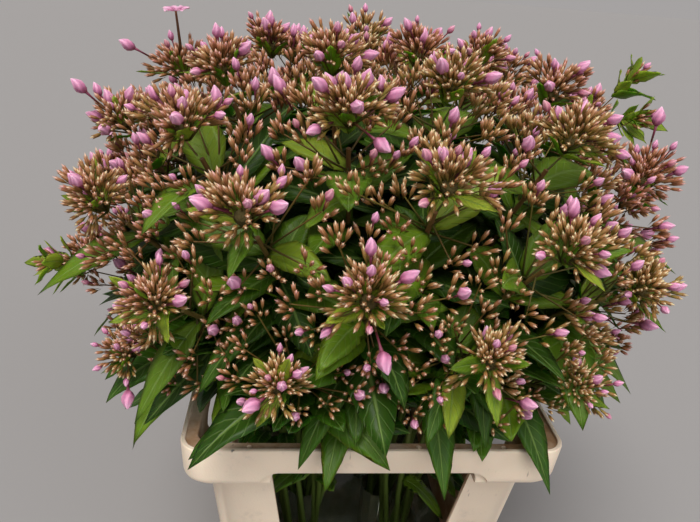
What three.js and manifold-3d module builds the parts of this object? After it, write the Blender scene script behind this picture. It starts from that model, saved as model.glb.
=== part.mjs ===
// Miss Ann garden phlox in bud, cut stems standing in a cream plastic flower container with water.
//
// Frame: millimetres, +Z up, origin at the centre of the container's underside.
// +X is to the right and +Y to the back, seen from the container's narrow front.
//
// The container is one moulding and the water in it is one body. The stems stand in six bunches,
// each pressed together where it is tied, with its leaves fused to its stems. Every stem carries
// one head: a core with the calyces and buds that stand out of it.

import * as THREE from 'three';
import { mergeVertices } from 'three/addons/utils/BufferGeometryUtils.js';
import Module from 'manifold-3d';

const wasm = await Module();
wasm.setup();

// Container, driving dimensions
const RIM_WIDTH = 300;
const RIM_DEPTH = 400;
const CONTAINER_HEIGHT = 340;
const COLLAR_HEIGHT = 37;
const COLLAR_STEP = 17;
const LEDGE_WIDTH = 11.5;
const LIP_WIDTH = 3.5;
const LIP_HEIGHT = 2;
const WALL = 3.5;
const BODY_TAPER = 0.1;
const RIM_CORNER = 17;
const CORNER_STEPS = 4;
const WINDOW_DROP = 22;
const WINDOW_HEIGHT = 100;
const WINDOW_TAPER = 0.13;
const WINDOW_CORNER = 11;
const FRONT_WINDOW_HALF = 83;
const SIDE_WINDOW_HALF = 137;
const RECESS_DEPTH = 5;
const RECESS_MARGIN = 10;
const DRAIN_SIZE = 4;
const DRAIN_DEPTH = 8;
const DRAIN_SIDES = 6;
const DRAINS_X = [-98, -30, 32, 100];
const WINDOW_CORNER_STEPS = 4;

// Water
const WATER_LEVEL = 110;
const WATER_GAP = 0.3;
const STEM_HOLE_RADIUS = 20;
const STEM_HOLE_SIDES = 12;

// Dome of heads
const HEAD_COUNT = 52;
const DOME_HALF_WIDTH = 240;
const DOME_HALF_DEPTH = 235;
const DOME_RISE = 155;
const DOME_MIDDLE = 450;
const DOME_EXPONENT = 2.5;
const DOME_SWEEP = THREE.MathUtils.degToRad(112);
const DOME_START = THREE.MathUtils.degToRad(321);
const DOME_STEPS = 400;
const GOLDEN_ANGLE = Math.PI * (3 - Math.sqrt(5));
const HEAD_RADIUS = 38;
const HEAD_LIFT = 0.55;
const HEAD_SEAT = 25;
const SEAT_GAP = 0.3;
const LOW_HEADS_FROM = 0.6;
const LOW_HEAD_SIZE = 0.7;

// Head, all from the head's centre
const CORE_RADIUS = 24;
const CALYX_REACH = 35;
const SEAT_RADIUS = 3;
const BUD_RADIUS = 5.5;
const BUD_BELLY = 0.76;
const BUD_SHARE = 0.25;
const CALYX_LENGTH = [0.88, 1.08];
const BUD_LENGTH = [0.9, 0.99];
const HEAD_SEED = 1000;
const HEAD_SEED_STEP = 77;
const LOWEST_CALYX = -0.45;

// Buds on long dark tubes that stand out of the dome: where their tips are
const LONG_BUDS = [
  [-226, 18, 600], [-247, -49, 576], [-272, -91, 447], [-186, -186, 366], [200, -112, 594],
  [266, -116, 448], [163, -57, 618], [-15, -267, 457], [-99, -252, 418], [-13, -184, 566],
];
const LONG_BUD_RADIUS = 5.5;
const LONG_BUD_BELLY = 0.8;
const LONG_BUD_SIDES = 4;
const TUBE_RADIUS = 2;
const TUBE_END = 0.55;
const LONG_BUD_ROOM = 4;

// The one open flower, on the crown's left
const FLOWER = [-177, 20, 627];
const FLOWER_RADIUS = 13;
const PETAL_COUNT = 5;
const PETAL_THICKNESS = 0.8;
const PETAL_HALF_WIDTH = 5.5;
const PETAL_SHOULDER = 0.7;
const PETAL_FOOT = 1.5;
const PETAL_LIFT = 0.05;
const FLOWER_TUBE_SIDES = 5;

// Stems
const STEM_FOOT = 8;
const TIE_HEIGHT = 85;
const FOOT_SPLAY = 14;
const TIE_RING = 10.5;
const BAND_RADIUS = 13.5;
const BAND_HEIGHT = 8;
const BAND_SIDES = 8;
const NECK_HEIGHT = 345;
const OVER_RIM = 47;
const NECK_HALF_WIDTH = 105;
const NECK_HALF_DEPTH = 155;
const STEM_RADIUS_FOOT = 2.8;
const STEM_RADIUS_TOP = 2.4;
const STEM_STEPS = 5;
const STEM_SIDES = 4;
const STEM_BOW = 0.45;
const STEM_MARGIN = 5;
const STEM_SAMPLES = 28;
const STEM_SAMPLE_STEP = 9;

// Bunches: two across and three deep, kept apart by upright planes
const BUNCH_COUNT = 6;
const BUNCH_X = 45;
const BUNCH_Y = 92;
const ROW_PLANE_Y = 50;
const ROW_PLANE_LEAN = 0.047;

// Leaves
const CROWN_HEADS = 18;
const CROWN_LEAF_PAIRS = 2;
const LEAF_FIRST = 20;
const LEAF_SPACING = 52;
const LEAF_LOWEST = 215;
const LEAF_LENGTH = 98;
const LEAF_WIDTH = 0.36;
const LEAF_THICKNESS = 1.3;
const LEAF_WAVE = 1.5;
const LEAF_WAVES = 9;
const LEAF_OPENING = [0.85, 1.2];
const LEAF_DROOP = [0.25, 0.6];
const LEAF_SIZE = [0.85, 1.15];
const YOUNGEST_LEAF = 0.55;
const LEAF_GROWTH = 0.25;
const LONG_LEAF = 60;
const LONG_LEAF_STATIONS = [0.2, 0.47, 0.76];
const SHORT_LEAF_STATIONS = [0.3, 0.66];
const LEAF_SEED = 500;
const LEAF_SEED_STEP = 31;
const LEAF_MARGIN = 1.5;
const HEAD_MARGIN = 4;
const LEAF_ROOM = 12;
const OUTSIDE_ROOM = 5;
const WALL_ROOM = 8;
const LEAF_SAMPLES = 14;
const LEAF_SHORT_REACH = 60;
const LEAF_LONG_REACH = 125;
const LEAF_BEST_REACH = 88;
const LEAF_HANG = 0.4;
const LEAF_TURNS = [0, 25, -25, 50, -50, 75, -75];
const LEAF_DROOPS = [1, 0.4, -0.4];

// Large leaves that lean out past the rim or hang over it: where their tips are
const OUTER_LEAVES = [
  [-222, -120, 344], [-252, -40, 428], [-196, -150, 296], [-42, -226, 326], [-62, -224, 345],
  [128, -226, 322], [231, -110, 312], [270, -58, 380], [72, -222, 362], [-195, -150, 437],
  [166, -160, 385], [228, 60, 330], [-225, 70, 320], [60, 228, 330], [-70, 228, 340],
  [-138, -222, 352],
];

const GREEN = new THREE.MeshStandardMaterial({ color: 0x3f7a1e, roughness: 0.55, metalness: 0 });
const HEAD = new THREE.MeshStandardMaterial({ color: 0xb98aa0, roughness: 0.6, metalness: 0 });
const CREAM = new THREE.MeshStandardMaterial({ color: 0xc1af9b, roughness: 0.5, metalness: 0 });
const WATER = new THREE.MeshStandardMaterial({ color: 0x8fa39a, roughness: 0.05, metalness: 0 });

const UP = new THREE.Vector3(0, 0, 1);
const SLIVER = 0.05;

// Solids

function solidOf(points, triangles) {
  const vertProperties = new Float32Array(points.flatMap((p) => [p.x, p.y, p.z]));
  return new wasm.Manifold(new wasm.Mesh({
    numProp: 3,
    vertProperties,
    triVerts: new Uint32Array(triangles.flat()),
  }));
}

function solidOfGeometry(geometry) {
  geometry.deleteAttribute('normal');
  geometry.deleteAttribute('uv');
  const merged = mergeVertices(geometry, 1e-4);
  return new wasm.Manifold(new wasm.Mesh({
    numProp: 3,
    vertProperties: merged.attributes.position.array,
    triVerts: new Uint32Array(merged.index.array),
  }));
}

function meshOf(solid, name, material) {
  const { vertProperties, triVerts } = solid.getMesh();
  const geometry = new THREE.BufferGeometry();
  geometry.setAttribute('position', new THREE.BufferAttribute(vertProperties, 3));
  geometry.setIndex(new THREE.BufferAttribute(triVerts, 1));
  geometry.computeVertexNormals();
  const mesh = new THREE.Mesh(geometry, material);
  mesh.name = name;
  return mesh;
}

// Joined, with slivers, loose scraps and sealed hollows left out
function joined(solids) {
  const whole = solids.reduce((sum, solid) => sum.add(solid)).simplify(SLIVER);
  const bodies = whole.decompose();
  return bodies.reduce((best, body) => (body.volume() > best.volume() ? body : best));
}

// A closed skin over rings of equal count, with both ends capped by a fan
function loftTriangles(ringCount, sides) {
  const triangles = [];
  for (let ring = 0; ring + 1 < ringCount; ring += 1) {
    for (let side = 0; side < sides; side += 1) {
      const a = ring * sides + side;
      const b = ring * sides + (side + 1) % sides;
      triangles.push([a, b, b + sides], [a, b + sides, a + sides]);
    }
  }
  const last = (ringCount - 1) * sides;
  for (let side = 1; side + 1 < sides; side += 1) {
    triangles.push([0, side + 1, side], [last, last + side, last + side + 1]);
  }
  return triangles;
}

// A repeatable stream of numbers from 0 to 1
function randomStream(seed) {
  let state = seed;
  return () => {
    state = (state * 16807) % 2147483647;
    return state / 2147483647;
  };
}

function between([low, high], share) {
  return low + (high - low) * share;
}

// Container

// A rounded rectangle that lies inset from the rim's outside, at one height
function wallRing(inset, z, corner) {
  const points = [];
  for (let quarter = 0; quarter < 4; quarter += 1) {
    const middle = (quarter + 0.5) * Math.PI / 2;
    const x = Math.sign(Math.cos(middle)) * (RIM_WIDTH / 2 - inset - corner);
    const y = Math.sign(Math.sin(middle)) * (RIM_DEPTH / 2 - inset - corner);
    for (let step = 0; step <= CORNER_STEPS; step += 1) {
      const turn = (quarter + step / CORNER_STEPS) * Math.PI / 2;
      points.push(new THREE.Vector3(x + corner * Math.cos(turn), y + corner * Math.sin(turn), z));
    }
  }
  return points;
}

function bodyInset(z) {
  return COLLAR_STEP + BODY_TAPER * (CONTAINER_HEIGHT - COLLAR_HEIGHT - z);
}

function lofted(rings) {
  return solidOf(rings.flat(), loftTriangles(rings.length, rings[0].length));
}

// Rings up the outside and down the inside: inset from the rim's outside, height, corner radius
function containerShell() {
  const top = CONTAINER_HEIGHT;
  const shelf = top - COLLAR_HEIGHT;
  const ledge = top - LIP_HEIGHT;
  const outside = [
    wallRing(bodyInset(0) + 4, 0, 16),
    wallRing(bodyInset(4), 4, 20),
    wallRing(COLLAR_STEP, shelf - 2, 22),
    wallRing(COLLAR_STEP - 3, shelf, 22),
    wallRing(8, shelf, 22),
    wallRing(3, shelf + 3, 22),
    wallRing(1, shelf + 9, RIM_CORNER + 1),
    wallRing(0, top - 2, RIM_CORNER),
    wallRing(1, top, RIM_CORNER - 1),
  ];
  const inside = [
    wallRing(LIP_WIDTH, top, RIM_CORNER - 3),
    wallRing(LIP_WIDTH + 0.5, ledge, RIM_CORNER - 3),
    wallRing(LEDGE_WIDTH, ledge, RIM_CORNER - 6),
    wallRing(LEDGE_WIDTH + 1, ledge - 2, RIM_CORNER - 6),
    wallRing(LEDGE_WIDTH + 2, shelf + 8, RIM_CORNER - 6),
    wallRing(COLLAR_STEP + WALL, shelf + 2, 18),
    wallRing(bodyInset(8) + WALL, 8, 16),
    wallRing(bodyInset(8) + WALL + 4, 4, 12),
  ];
  return lofted([...outside, ...inside]);
}

// A trapezium with rounded corners, narrower below, pushed through along +Y and centred on it
function windowPrism(halfTop, margin, length) {
  const top = CONTAINER_HEIGHT - WINDOW_DROP;
  const bottom = top - WINDOW_HEIGHT - margin;
  const wide = halfTop + margin;
  const narrow = wide - WINDOW_TAPER * (top - bottom);
  const corners = [[-narrow, bottom], [narrow, bottom], [wide, top], [-wide, top]];
  const shape = new THREE.Shape();
  corners.forEach(([x, z], index) => {
    const before = new THREE.Vector2(...corners[(index + 3) % 4]);
    const after = new THREE.Vector2(...corners[(index + 1) % 4]);
    const here = new THREE.Vector2(x, z);
    const start = before.sub(here).setLength(WINDOW_CORNER + margin).add(here);
    const end = after.sub(here).setLength(WINDOW_CORNER + margin).add(here);
    if (index === 0) shape.moveTo(start.x, start.y);
    else shape.lineTo(start.x, start.y);
    shape.quadraticCurveTo(x, z, end.x, end.y);
  });
  shape.closePath();
  const options = { depth: length, bevelEnabled: false, curveSegments: WINDOW_CORNER_STEPS };
  const geometry = new THREE.ExtrudeGeometry(shape, options);
  geometry.rotateX(Math.PI / 2);
  geometry.translate(0, length / 2, 0);
  return geometry;
}

function drainHole(x, y) {
  const hole = new THREE.CylinderGeometry(DRAIN_SIZE / 2, DRAIN_SIZE / 2, DRAIN_DEPTH, DRAIN_SIDES);
  hole.rotateX(Math.PI / 2);
  hole.translate(x, y, CONTAINER_HEIGHT - LIP_HEIGHT);
  return solidOfGeometry(hole);
}

function container() {
  let shell = containerShell();
  shell = shell.subtract(solidOfGeometry(windowPrism(FRONT_WINDOW_HALF, 0, RIM_DEPTH * 2)));
  const across = windowPrism(SIDE_WINDOW_HALF, 0, RIM_DEPTH * 2).rotateZ(Math.PI / 2);
  shell = shell.subtract(solidOfGeometry(across));
  for (const side of [-1, 1]) {
    const front = windowPrism(FRONT_WINDOW_HALF, RECESS_MARGIN, RECESS_DEPTH * 2);
    front.translate(0, side * RIM_DEPTH / 2, 0);
    const flank = windowPrism(SIDE_WINDOW_HALF, RECESS_MARGIN, RECESS_DEPTH * 2);
    flank.rotateZ(Math.PI / 2).translate(side * RIM_WIDTH / 2, 0, 0);
    shell = shell.subtract(solidOfGeometry(front)).subtract(solidOfGeometry(flank));
    const ledgeY = side * (RIM_DEPTH / 2 - (LIP_WIDTH + LEDGE_WIDTH) / 2);
    for (const x of DRAINS_X) shell = shell.subtract(drainHole(x, ledgeY));
  }
  return shell;
}

// Dome of heads

// How far the dome reaches from its axis and how high it stands, along its outline from the crown
function domeOutline() {
  const outline = [];
  for (let step = 0; step <= DOME_STEPS; step += 1) {
    const angle = DOME_SWEEP * step / DOME_STEPS;
    const rise = Math.cos(angle);
    outline.push({
      reach: Math.sin(angle) ** (2 / DOME_EXPONENT),
      rise: Math.sign(rise) * Math.abs(rise) ** (2 / DOME_EXPONENT),
      area: 0,
    });
  }
  const meanHalf = (DOME_HALF_WIDTH + DOME_HALF_DEPTH) / 2;
  for (let step = 1; step <= DOME_STEPS; step += 1) {
    const from = outline[step - 1];
    const to = outline[step];
    const slope = Math.hypot((to.reach - from.reach) * meanHalf, (to.rise - from.rise) * DOME_RISE);
    to.area = from.area + (from.reach + to.reach) / 2 * slope;
  }
  return outline;
}

// Heads stand a golden angle apart round the dome, each with an equal share of its surface
function placeHeads() {
  const outline = domeOutline();
  const total = outline[DOME_STEPS].area;
  const heads = [];
  let step = 1;
  for (let index = 0; index < HEAD_COUNT; index += 1) {
    const share = (index + 0.5) / HEAD_COUNT * total;
    while (outline[step].area < share) step += 1;
    const from = outline[step - 1];
    const to = outline[step];
    const part = (share - from.area) / (to.area - from.area);
    const reach = from.reach + part * (to.reach - from.reach);
    const rise = from.rise + part * (to.rise - from.rise);
    const turn = DOME_START + index * GOLDEN_ANGLE;
    const across = Math.abs(Math.cos(turn)) / DOME_HALF_WIDTH;
    const along = Math.abs(Math.sin(turn)) / DOME_HALF_DEPTH;
    const half = (across ** DOME_EXPONENT + along ** DOME_EXPONENT) ** (-1 / DOME_EXPONENT);
    const centre = new THREE.Vector3(
      reach * half * Math.cos(turn),
      reach * half * Math.sin(turn),
      DOME_MIDDLE + DOME_RISE * rise,
    );
    const axis = new THREE.Vector3(
      centre.x / DOME_HALF_WIDTH,
      centre.y / DOME_HALF_DEPTH,
      Math.max(rise, 0) + HEAD_LIFT,
    ).normalize();
    const below = centre.clone().addScaledVector(axis, -HEAD_SEAT);
    const bunch = bunchOf(below);
    axis.copy(centre).sub(keptInside(below, bunch, STEM_MARGIN)).normalize();
    const seat = centre.clone().addScaledVector(axis, -HEAD_SEAT);
    const low = Math.max((index / HEAD_COUNT - LOW_HEADS_FROM) / (1 - LOW_HEADS_FROM), 0);
    const size = 1 - (1 - LOW_HEAD_SIZE) * low;
    heads.push({ index, bunch, centre, axis, seat, size, longBuds: [], flower: null });
  }
  return heads;
}

// Bunches

function rowPlane(z) {
  return ROW_PLANE_Y + ROW_PLANE_LEAN * z;
}

function bunchMiddle(bunch) {
  const x = bunch % 2 === 1 ? BUNCH_X : -BUNCH_X;
  return new THREE.Vector3(x, (Math.floor(bunch / 2) - 1) * BUNCH_Y, 0);
}

// Which of the six bunches a point belongs to
function bunchOf(point) {
  const column = point.x > 0 ? 1 : 0;
  const edge = rowPlane(point.z);
  const row = point.y > edge ? 2 : Number(point.y > -edge);
  return row * 2 + column;
}

// How far inside its own bunch's planes a point is, less than zero when it is outside
function insideBunch(point, bunch) {
  const column = bunch % 2;
  const row = Math.floor(bunch / 2);
  const edge = rowPlane(point.z);
  const sideways = column === 1 ? point.x : -point.x;
  if (row === 0) return Math.min(sideways, -edge - point.y);
  if (row === 2) return Math.min(sideways, point.y - edge);
  return Math.min(sideways, edge - Math.abs(point.y));
}

// A point moved until it is at least the margin inside its bunch
function keptInside(point, bunch, margin) {
  const moved = point.clone();
  const column = bunch % 2;
  const row = Math.floor(bunch / 2);
  const edge = rowPlane(point.z);
  moved.x = column === 1 ? Math.max(point.x, margin) : Math.min(point.x, -margin);
  if (row === 0) moved.y = Math.min(point.y, -edge - margin);
  if (row === 1) moved.y = Math.max(Math.min(point.y, edge - margin), margin - edge);
  if (row === 2) moved.y = Math.max(point.y, edge + margin);
  return moved;
}

// Stems

// A stem's centre line from its cut foot through the tie and the container's neck to its head
function stemPoints(head, bunch, ringTurn) {
  const middle = bunchMiddle(bunch);
  const outward = new THREE.Vector3(Math.cos(ringTurn), Math.sin(ringTurn), 0);
  const foot = middle.clone().addScaledVector(outward, FOOT_SPLAY).setZ(STEM_FOOT);
  const tie = middle.clone().addScaledVector(outward, TIE_RING).setZ(TIE_HEIGHT);
  const { seat } = head;
  const neck = new THREE.Vector3(
    seat.x * NECK_HALF_WIDTH / DOME_HALF_WIDTH,
    seat.y * NECK_HALF_DEPTH / DOME_HALF_DEPTH,
    NECK_HEIGHT,
  );
  const neckInside = keptInside(neck, bunch, STEM_MARGIN);
  const reach = seat.distanceTo(neckInside) * STEM_BOW;
  const below = seat.clone().addScaledVector(head.axis, -reach);
  below.z = Math.max(below.z, CONTAINER_HEIGHT + OVER_RIM);
  const belowInside = keptInside(below, bunch, STEM_MARGIN);
  const curve = new THREE.CubicBezierCurve3(tie, neckInside, belowInside, seat);
  return [foot, ...curve.getPoints(STEM_STEPS)];
}

// The point on a stem's path at a distance below its head, and the path's direction there
function pointBelowHead(path, distance) {
  let left = distance;
  for (let index = path.length - 1; index > 0; index -= 1) {
    const step = path[index].clone().sub(path[index - 1]);
    const length = step.length();
    const tangent = step.divideScalar(length);
    if (left <= length) return { foot: path[index].clone().addScaledVector(tangent, -left), tangent };
    left -= length;
  }
  return null;
}

// All stems, the outermost first; those of a bunch stand evenly round its tie
function bunchedStems(heads) {
  const stems = [];
  for (let bunch = 0; bunch < BUNCH_COUNT; bunch += 1) {
    const members = heads.filter((head) => head.bunch === bunch);
    const middle = bunchMiddle(bunch);
    const turnOf = (head) => Math.atan2(head.seat.y - middle.y, head.seat.x - middle.x);
    members.sort((a, b) => turnOf(a) - turnOf(b));
    members.forEach((head, rank) => {
      const ringTurn = turnOf(members[0]) + rank / members.length * Math.PI * 2;
      stems.push({ head, bunch, path: stemPoints(head, bunch, ringTurn), leaves: [] });
    });
  }
  return stems.sort((a, b) => b.head.index - a.head.index);
}

function stemSolid(stem) {
  const { axis } = stem.head;
  const centres = [...stem.path];
  const last = centres.length - 1;
  centres[last] = stem.head.seat.clone().addScaledVector(axis, -SEAT_GAP);
  const points = [];
  centres.forEach((centre, index) => {
    const before = centres[Math.max(index - 1, 0)];
    const after = centres[Math.min(index + 1, last)];
    const tangent = index === last ? axis : after.clone().sub(before).normalize();
    const turn = new THREE.Quaternion().setFromUnitVectors(UP, tangent);
    const radius = THREE.MathUtils.lerp(STEM_RADIUS_FOOT, STEM_RADIUS_TOP, index / last);
    for (let side = 0; side < STEM_SIDES; side += 1) {
      const angle = side / STEM_SIDES * Math.PI * 2;
      const offset = new THREE.Vector3(radius * Math.cos(angle), radius * Math.sin(angle), 0);
      points.push(offset.applyQuaternion(turn).add(centre));
    }
  });
  return solidOf(points, loftTriangles(centres.length, STEM_SIDES));
}

// Points down a stem that leaves keep away from
function stemSamples(path) {
  const samples = [];
  for (let count = 0; count < STEM_SAMPLES; count += 1) {
    samples.push(pointBelowHead(path, count * STEM_SAMPLE_STEP).foot);
  }
  return samples;
}

// The band that presses a bunch's stems together
function tieBand(bunch) {
  const band = new THREE.CylinderGeometry(BAND_RADIUS, BAND_RADIUS, BAND_HEIGHT, BAND_SIDES);
  const { x, y } = bunchMiddle(bunch);
  band.rotateX(Math.PI / 2).translate(x, y, TIE_HEIGHT);
  return solidOfGeometry(band);
}

// Leaves

// Where a blade's middle and edges run, at a share of its length from its foot
function bladeAt(leaf, share) {
  const middle = leaf.foot.clone().addScaledVector(leaf.direction, leaf.length * share);
  middle.z -= leaf.droop * leaf.length * share * share;
  const width = leaf.width / 2 * Math.sin(Math.PI * share ** 0.8) ** 0.85;
  const slope = leaf.direction.clone();
  slope.z -= 2 * leaf.droop * share;
  slope.normalize();
  const normal = new THREE.Vector3().crossVectors(slope, leaf.side).normalize();
  const wave = leaf.wave * Math.sin(share * LEAF_WAVES + leaf.phase);
  const left = middle.clone().addScaledVector(leaf.side, -width).addScaledVector(normal, wave);
  const right = middle.clone().addScaledVector(leaf.side, width).addScaledVector(normal, -wave);
  return { middle, left, right, normal, wave };
}

// Points along a leaf's middle and edges, from a quarter of its length out
function leafSamples(leaf) {
  const samples = [];
  for (let step = 3; step <= LEAF_SAMPLES; step += 1) {
    const { middle, left, right } = bladeAt(leaf, step / LEAF_SAMPLES);
    samples.push(middle, left, right);
  }
  return samples;
}

function leafClear(leaf, bunch, obstacles, taken) {
  for (const point of leafSamples(leaf)) {
    if (insideBunch(point, bunch) < LEAF_MARGIN) return false;
    if (!clearOfContainer(point)) return false;
    if (obstacles.some((ball) => ball.centre.distanceTo(point) < ball.radius + HEAD_MARGIN)) return false;
    if (taken.some((other) => other.distanceTo(point) < LEAF_ROOM)) return false;
  }
  return true;
}

// Inside the walls, above the rim, or well outside them
function clearOfContainer(point) {
  if (point.z > CONTAINER_HEIGHT + 3) return true;
  if (point.z < WATER_LEVEL + 10) return false;
  const outside = Math.max(Math.abs(point.x) - RIM_WIDTH / 2, Math.abs(point.y) - RIM_DEPTH / 2);
  if (outside > OUTSIDE_ROOM) return true;
  const windowFoot = CONTAINER_HEIGHT - WINDOW_DROP - WINDOW_HEIGHT;
  return outside < -(bodyInset(Math.min(point.z, windowFoot)) + WALL + WALL_ROOM);
}

// A blade with a waved upper face and a keel below, from its foot in the stem to its tip. The
// upper face is split along its raised diagonals, so that it never dips through the keel's faces.
function leafSolid(leaf) {
  const shares = leaf.length > LONG_LEAF ? LONG_LEAF_STATIONS : SHORT_LEAF_STATIONS;
  const points = [leaf.foot, bladeAt(leaf, 1).middle];
  const triangles = [];
  let waveBefore = 0;
  shares.forEach((share, index) => {
    const { middle, left, right, normal, wave } = bladeAt(leaf, share);
    const keel = middle.clone().addScaledVector(normal, -LEAF_THICKNESS);
    points.push(left, right, keel);
    const here = 2 + index * 3;
    for (let side = 0; side < 3; side += 1) {
      const a = here + side;
      const b = here + (side + 1) % 3;
      if (index === 0) triangles.push([0, a, b]);
      else if (side === 0 && wave < waveBefore) triangles.push([a, b, a - 3], [b, b - 3, a - 3]);
      else triangles.push([a, b, b - 3], [a, b - 3, a - 3]);
      if (index === shares.length - 1) triangles.push([1, b, a]);
    }
    waveBefore = wave;
  });
  return solidOf(points, triangles);
}

// A leaf whose tip is given, from the stem point of its own bunch that suits its length best
function outerLeaf(tip, stems, obstacles, taken) {
  const bunch = bunchOf(tip);
  const feet = [];
  for (const stem of stems.filter((member) => member.bunch === bunch)) {
    for (const foot of stemSamples(stem.path)) {
      const reach = foot.distanceTo(tip);
      const low = foot.z < Math.max(tip.z - 20, LEAF_LOWEST);
      if (reach > LEAF_SHORT_REACH && reach < LEAF_LONG_REACH && !low) feet.push({ stem, foot, reach });
    }
  }
  feet.sort((a, b) => Math.abs(a.reach - LEAF_BEST_REACH) - Math.abs(b.reach - LEAF_BEST_REACH));
  for (const { stem, foot, reach } of feet) {
    const hang = LEAF_HANG * reach;
    const direction = tip.clone().sub(foot);
    direction.z += hang;
    const length = direction.length();
    direction.divideScalar(length);
    const side = new THREE.Vector3().crossVectors(UP, direction).normalize();
    const width = LEAF_WIDTH * length;
    const shape = { length, width, droop: hang / length, wave: LEAF_WAVE, phase: reach };
    const leaf = { foot, direction, side, ...shape };
    if (leafClear(leaf, bunch, obstacles, taken)) return { stem, leaf };
  }
  return null;
}

// Leaf pairs down a stem from its head, each pair a quarter turn from the one above
function leavesOf(stem, bunch, obstacles, taken, random) {
  const leaves = [];
  const firstTurn = random() * Math.PI;
  const pairs = stem.head.index < CROWN_HEADS ? CROWN_LEAF_PAIRS : Infinity;
  for (let pair = 0; pair < pairs; pair += 1) {
    const { foot, tangent } = pointBelowHead(stem.path, LEAF_FIRST + LEAF_SPACING * pair);
    if (foot.z < LEAF_LOWEST) break;
    const turnUp = new THREE.Quaternion().setFromUnitVectors(UP, tangent);
    for (let half = 0; half < 2; half += 1) {
      const turn = firstTurn + pair * Math.PI / 2 + half * Math.PI;
      const size = Math.min(YOUNGEST_LEAF + LEAF_GROWTH * pair, 1) * between(LEAF_SIZE, random());
      const leaf = chooseLeaf(foot, tangent, turnUp, turn, size, random(), bunch, obstacles, taken);
      if (leaf) {
        leaves.push(leaf);
        taken.push(...leafSamples(leaf));
      }
    }
  }
  return leaves;
}

// The first way round the stem in which the leaf is clear of all that isn't its own bunch
function chooseLeaf(foot, tangent, turnUp, turn, size, chance, bunch, obstacles, taken) {
  for (const droop of LEAF_DROOPS) {
    for (const offset of LEAF_TURNS) {
      const angle = turn + THREE.MathUtils.degToRad(offset);
      const outward = new THREE.Vector3(Math.cos(angle), Math.sin(angle), 0).applyQuaternion(turnUp);
      const side = new THREE.Vector3(-Math.sin(angle), Math.cos(angle), 0).applyQuaternion(turnUp);
      const open = between(LEAF_OPENING, chance);
      const direction = tangent.clone().multiplyScalar(Math.cos(open));
      direction.addScaledVector(outward, Math.sin(open));
      const leaf = {
        foot,
        direction,
        side,
        length: LEAF_LENGTH * size,
        width: LEAF_WIDTH * LEAF_LENGTH * size,
        droop: between(LEAF_DROOP, chance) * droop,
        wave: LEAF_WAVE * size,
        phase: chance * Math.PI * 2,
      };
      if (leafClear(leaf, bunch, obstacles, taken)) return leaf;
    }
  }
  return null;
}

// Heads

// A ball of flat faces, each drawn out to a pointed calyx or to a rounder, longer bud. The face
// that points down becomes the flat seat on the stem, and the faces round it stay plain.
function headSolid(head) {
  const random = randomStream(HEAD_SEED + head.index * HEAD_SEED_STEP);
  const ball = new THREE.OctahedronGeometry(1, 1);
  ball.deleteAttribute('normal');
  ball.deleteAttribute('uv');
  const merged = mergeVertices(ball, 1e-4);
  const down = new THREE.Quaternion().setFromUnitVectors(
    new THREE.Vector3(1, 1, 1).normalize(),
    new THREE.Vector3(0, 0, -1),
  );
  const points = [];
  for (let i = 0; i < merged.attributes.position.count; i += 1) {
    const point = new THREE.Vector3().fromBufferAttribute(merged.attributes.position, i);
    points.push(point.applyQuaternion(down).multiplyScalar(CORE_RADIUS));
  }
  const seatCorners = points.filter((point) => point.z < -0.8 * CORE_RADIUS);
  const triangles = [];
  const index = merged.index.array;
  for (let i = 0; i < index.length; i += 3) {
    const corners = [index[i], index[i + 1], index[i + 2]];
    const middle = new THREE.Vector3();
    for (const corner of corners) middle.add(points[corner]);
    middle.normalize();
    if (middle.z < LOWEST_CALYX) triangles.push(corners);
    else if (random() < BUD_SHARE) drawBud(points, triangles, corners, middle, random);
    else drawCalyx(points, triangles, corners, middle, random);
  }
  const facing = new THREE.Quaternion().setFromUnitVectors(UP, head.axis);
  const spin = new THREE.Quaternion().setFromAxisAngle(UP, random() * Math.PI * 2);
  const placed = points.map((point) => {
    if (seatCorners.includes(point)) point.setZ(0).setLength(SEAT_RADIUS).setZ(-HEAD_SEAT);
    else point.multiplyScalar(head.size);
    return point.applyQuaternion(spin).applyQuaternion(facing).add(head.centre);
  });
  const solids = [solidOf(placed, triangles)];
  solids.push(...head.longBuds.map((tip) => longBud(head.centre, tip)));
  if (head.flower) solids.push(...openFlower(head.centre, head.flower));
  return joined(solids);
}

// A furled bud on its tube, from the head's centre to the bud's tip
function longBud(centre, tip) {
  const direction = tip.clone().sub(centre);
  const reach = direction.length();
  const facing = new THREE.Quaternion().setFromUnitVectors(UP, direction.divideScalar(reach));
  const points = [centre.clone(), tip];
  const triangles = [];
  for (let side = 0; side < LONG_BUD_SIDES; side += 1) {
    const angle = side / LONG_BUD_SIDES * Math.PI * 2;
    const round = new THREE.Vector3(Math.cos(angle), Math.sin(angle), 0);
    const tube = round.clone().multiplyScalar(TUBE_RADIUS).setZ(reach * TUBE_END);
    const belly = round.multiplyScalar(LONG_BUD_RADIUS).setZ(reach * LONG_BUD_BELLY);
    points.push(tube.applyQuaternion(facing).add(centre), belly.applyQuaternion(facing).add(centre));
    const a = 2 + side * 2;
    const b = 2 + (side + 1) % LONG_BUD_SIDES * 2;
    triangles.push([0, b, a], [a, b, b + 1], [a, b + 1, a + 1], [1, a + 1, b + 1]);
  }
  return solidOf(points, triangles);
}

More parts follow.
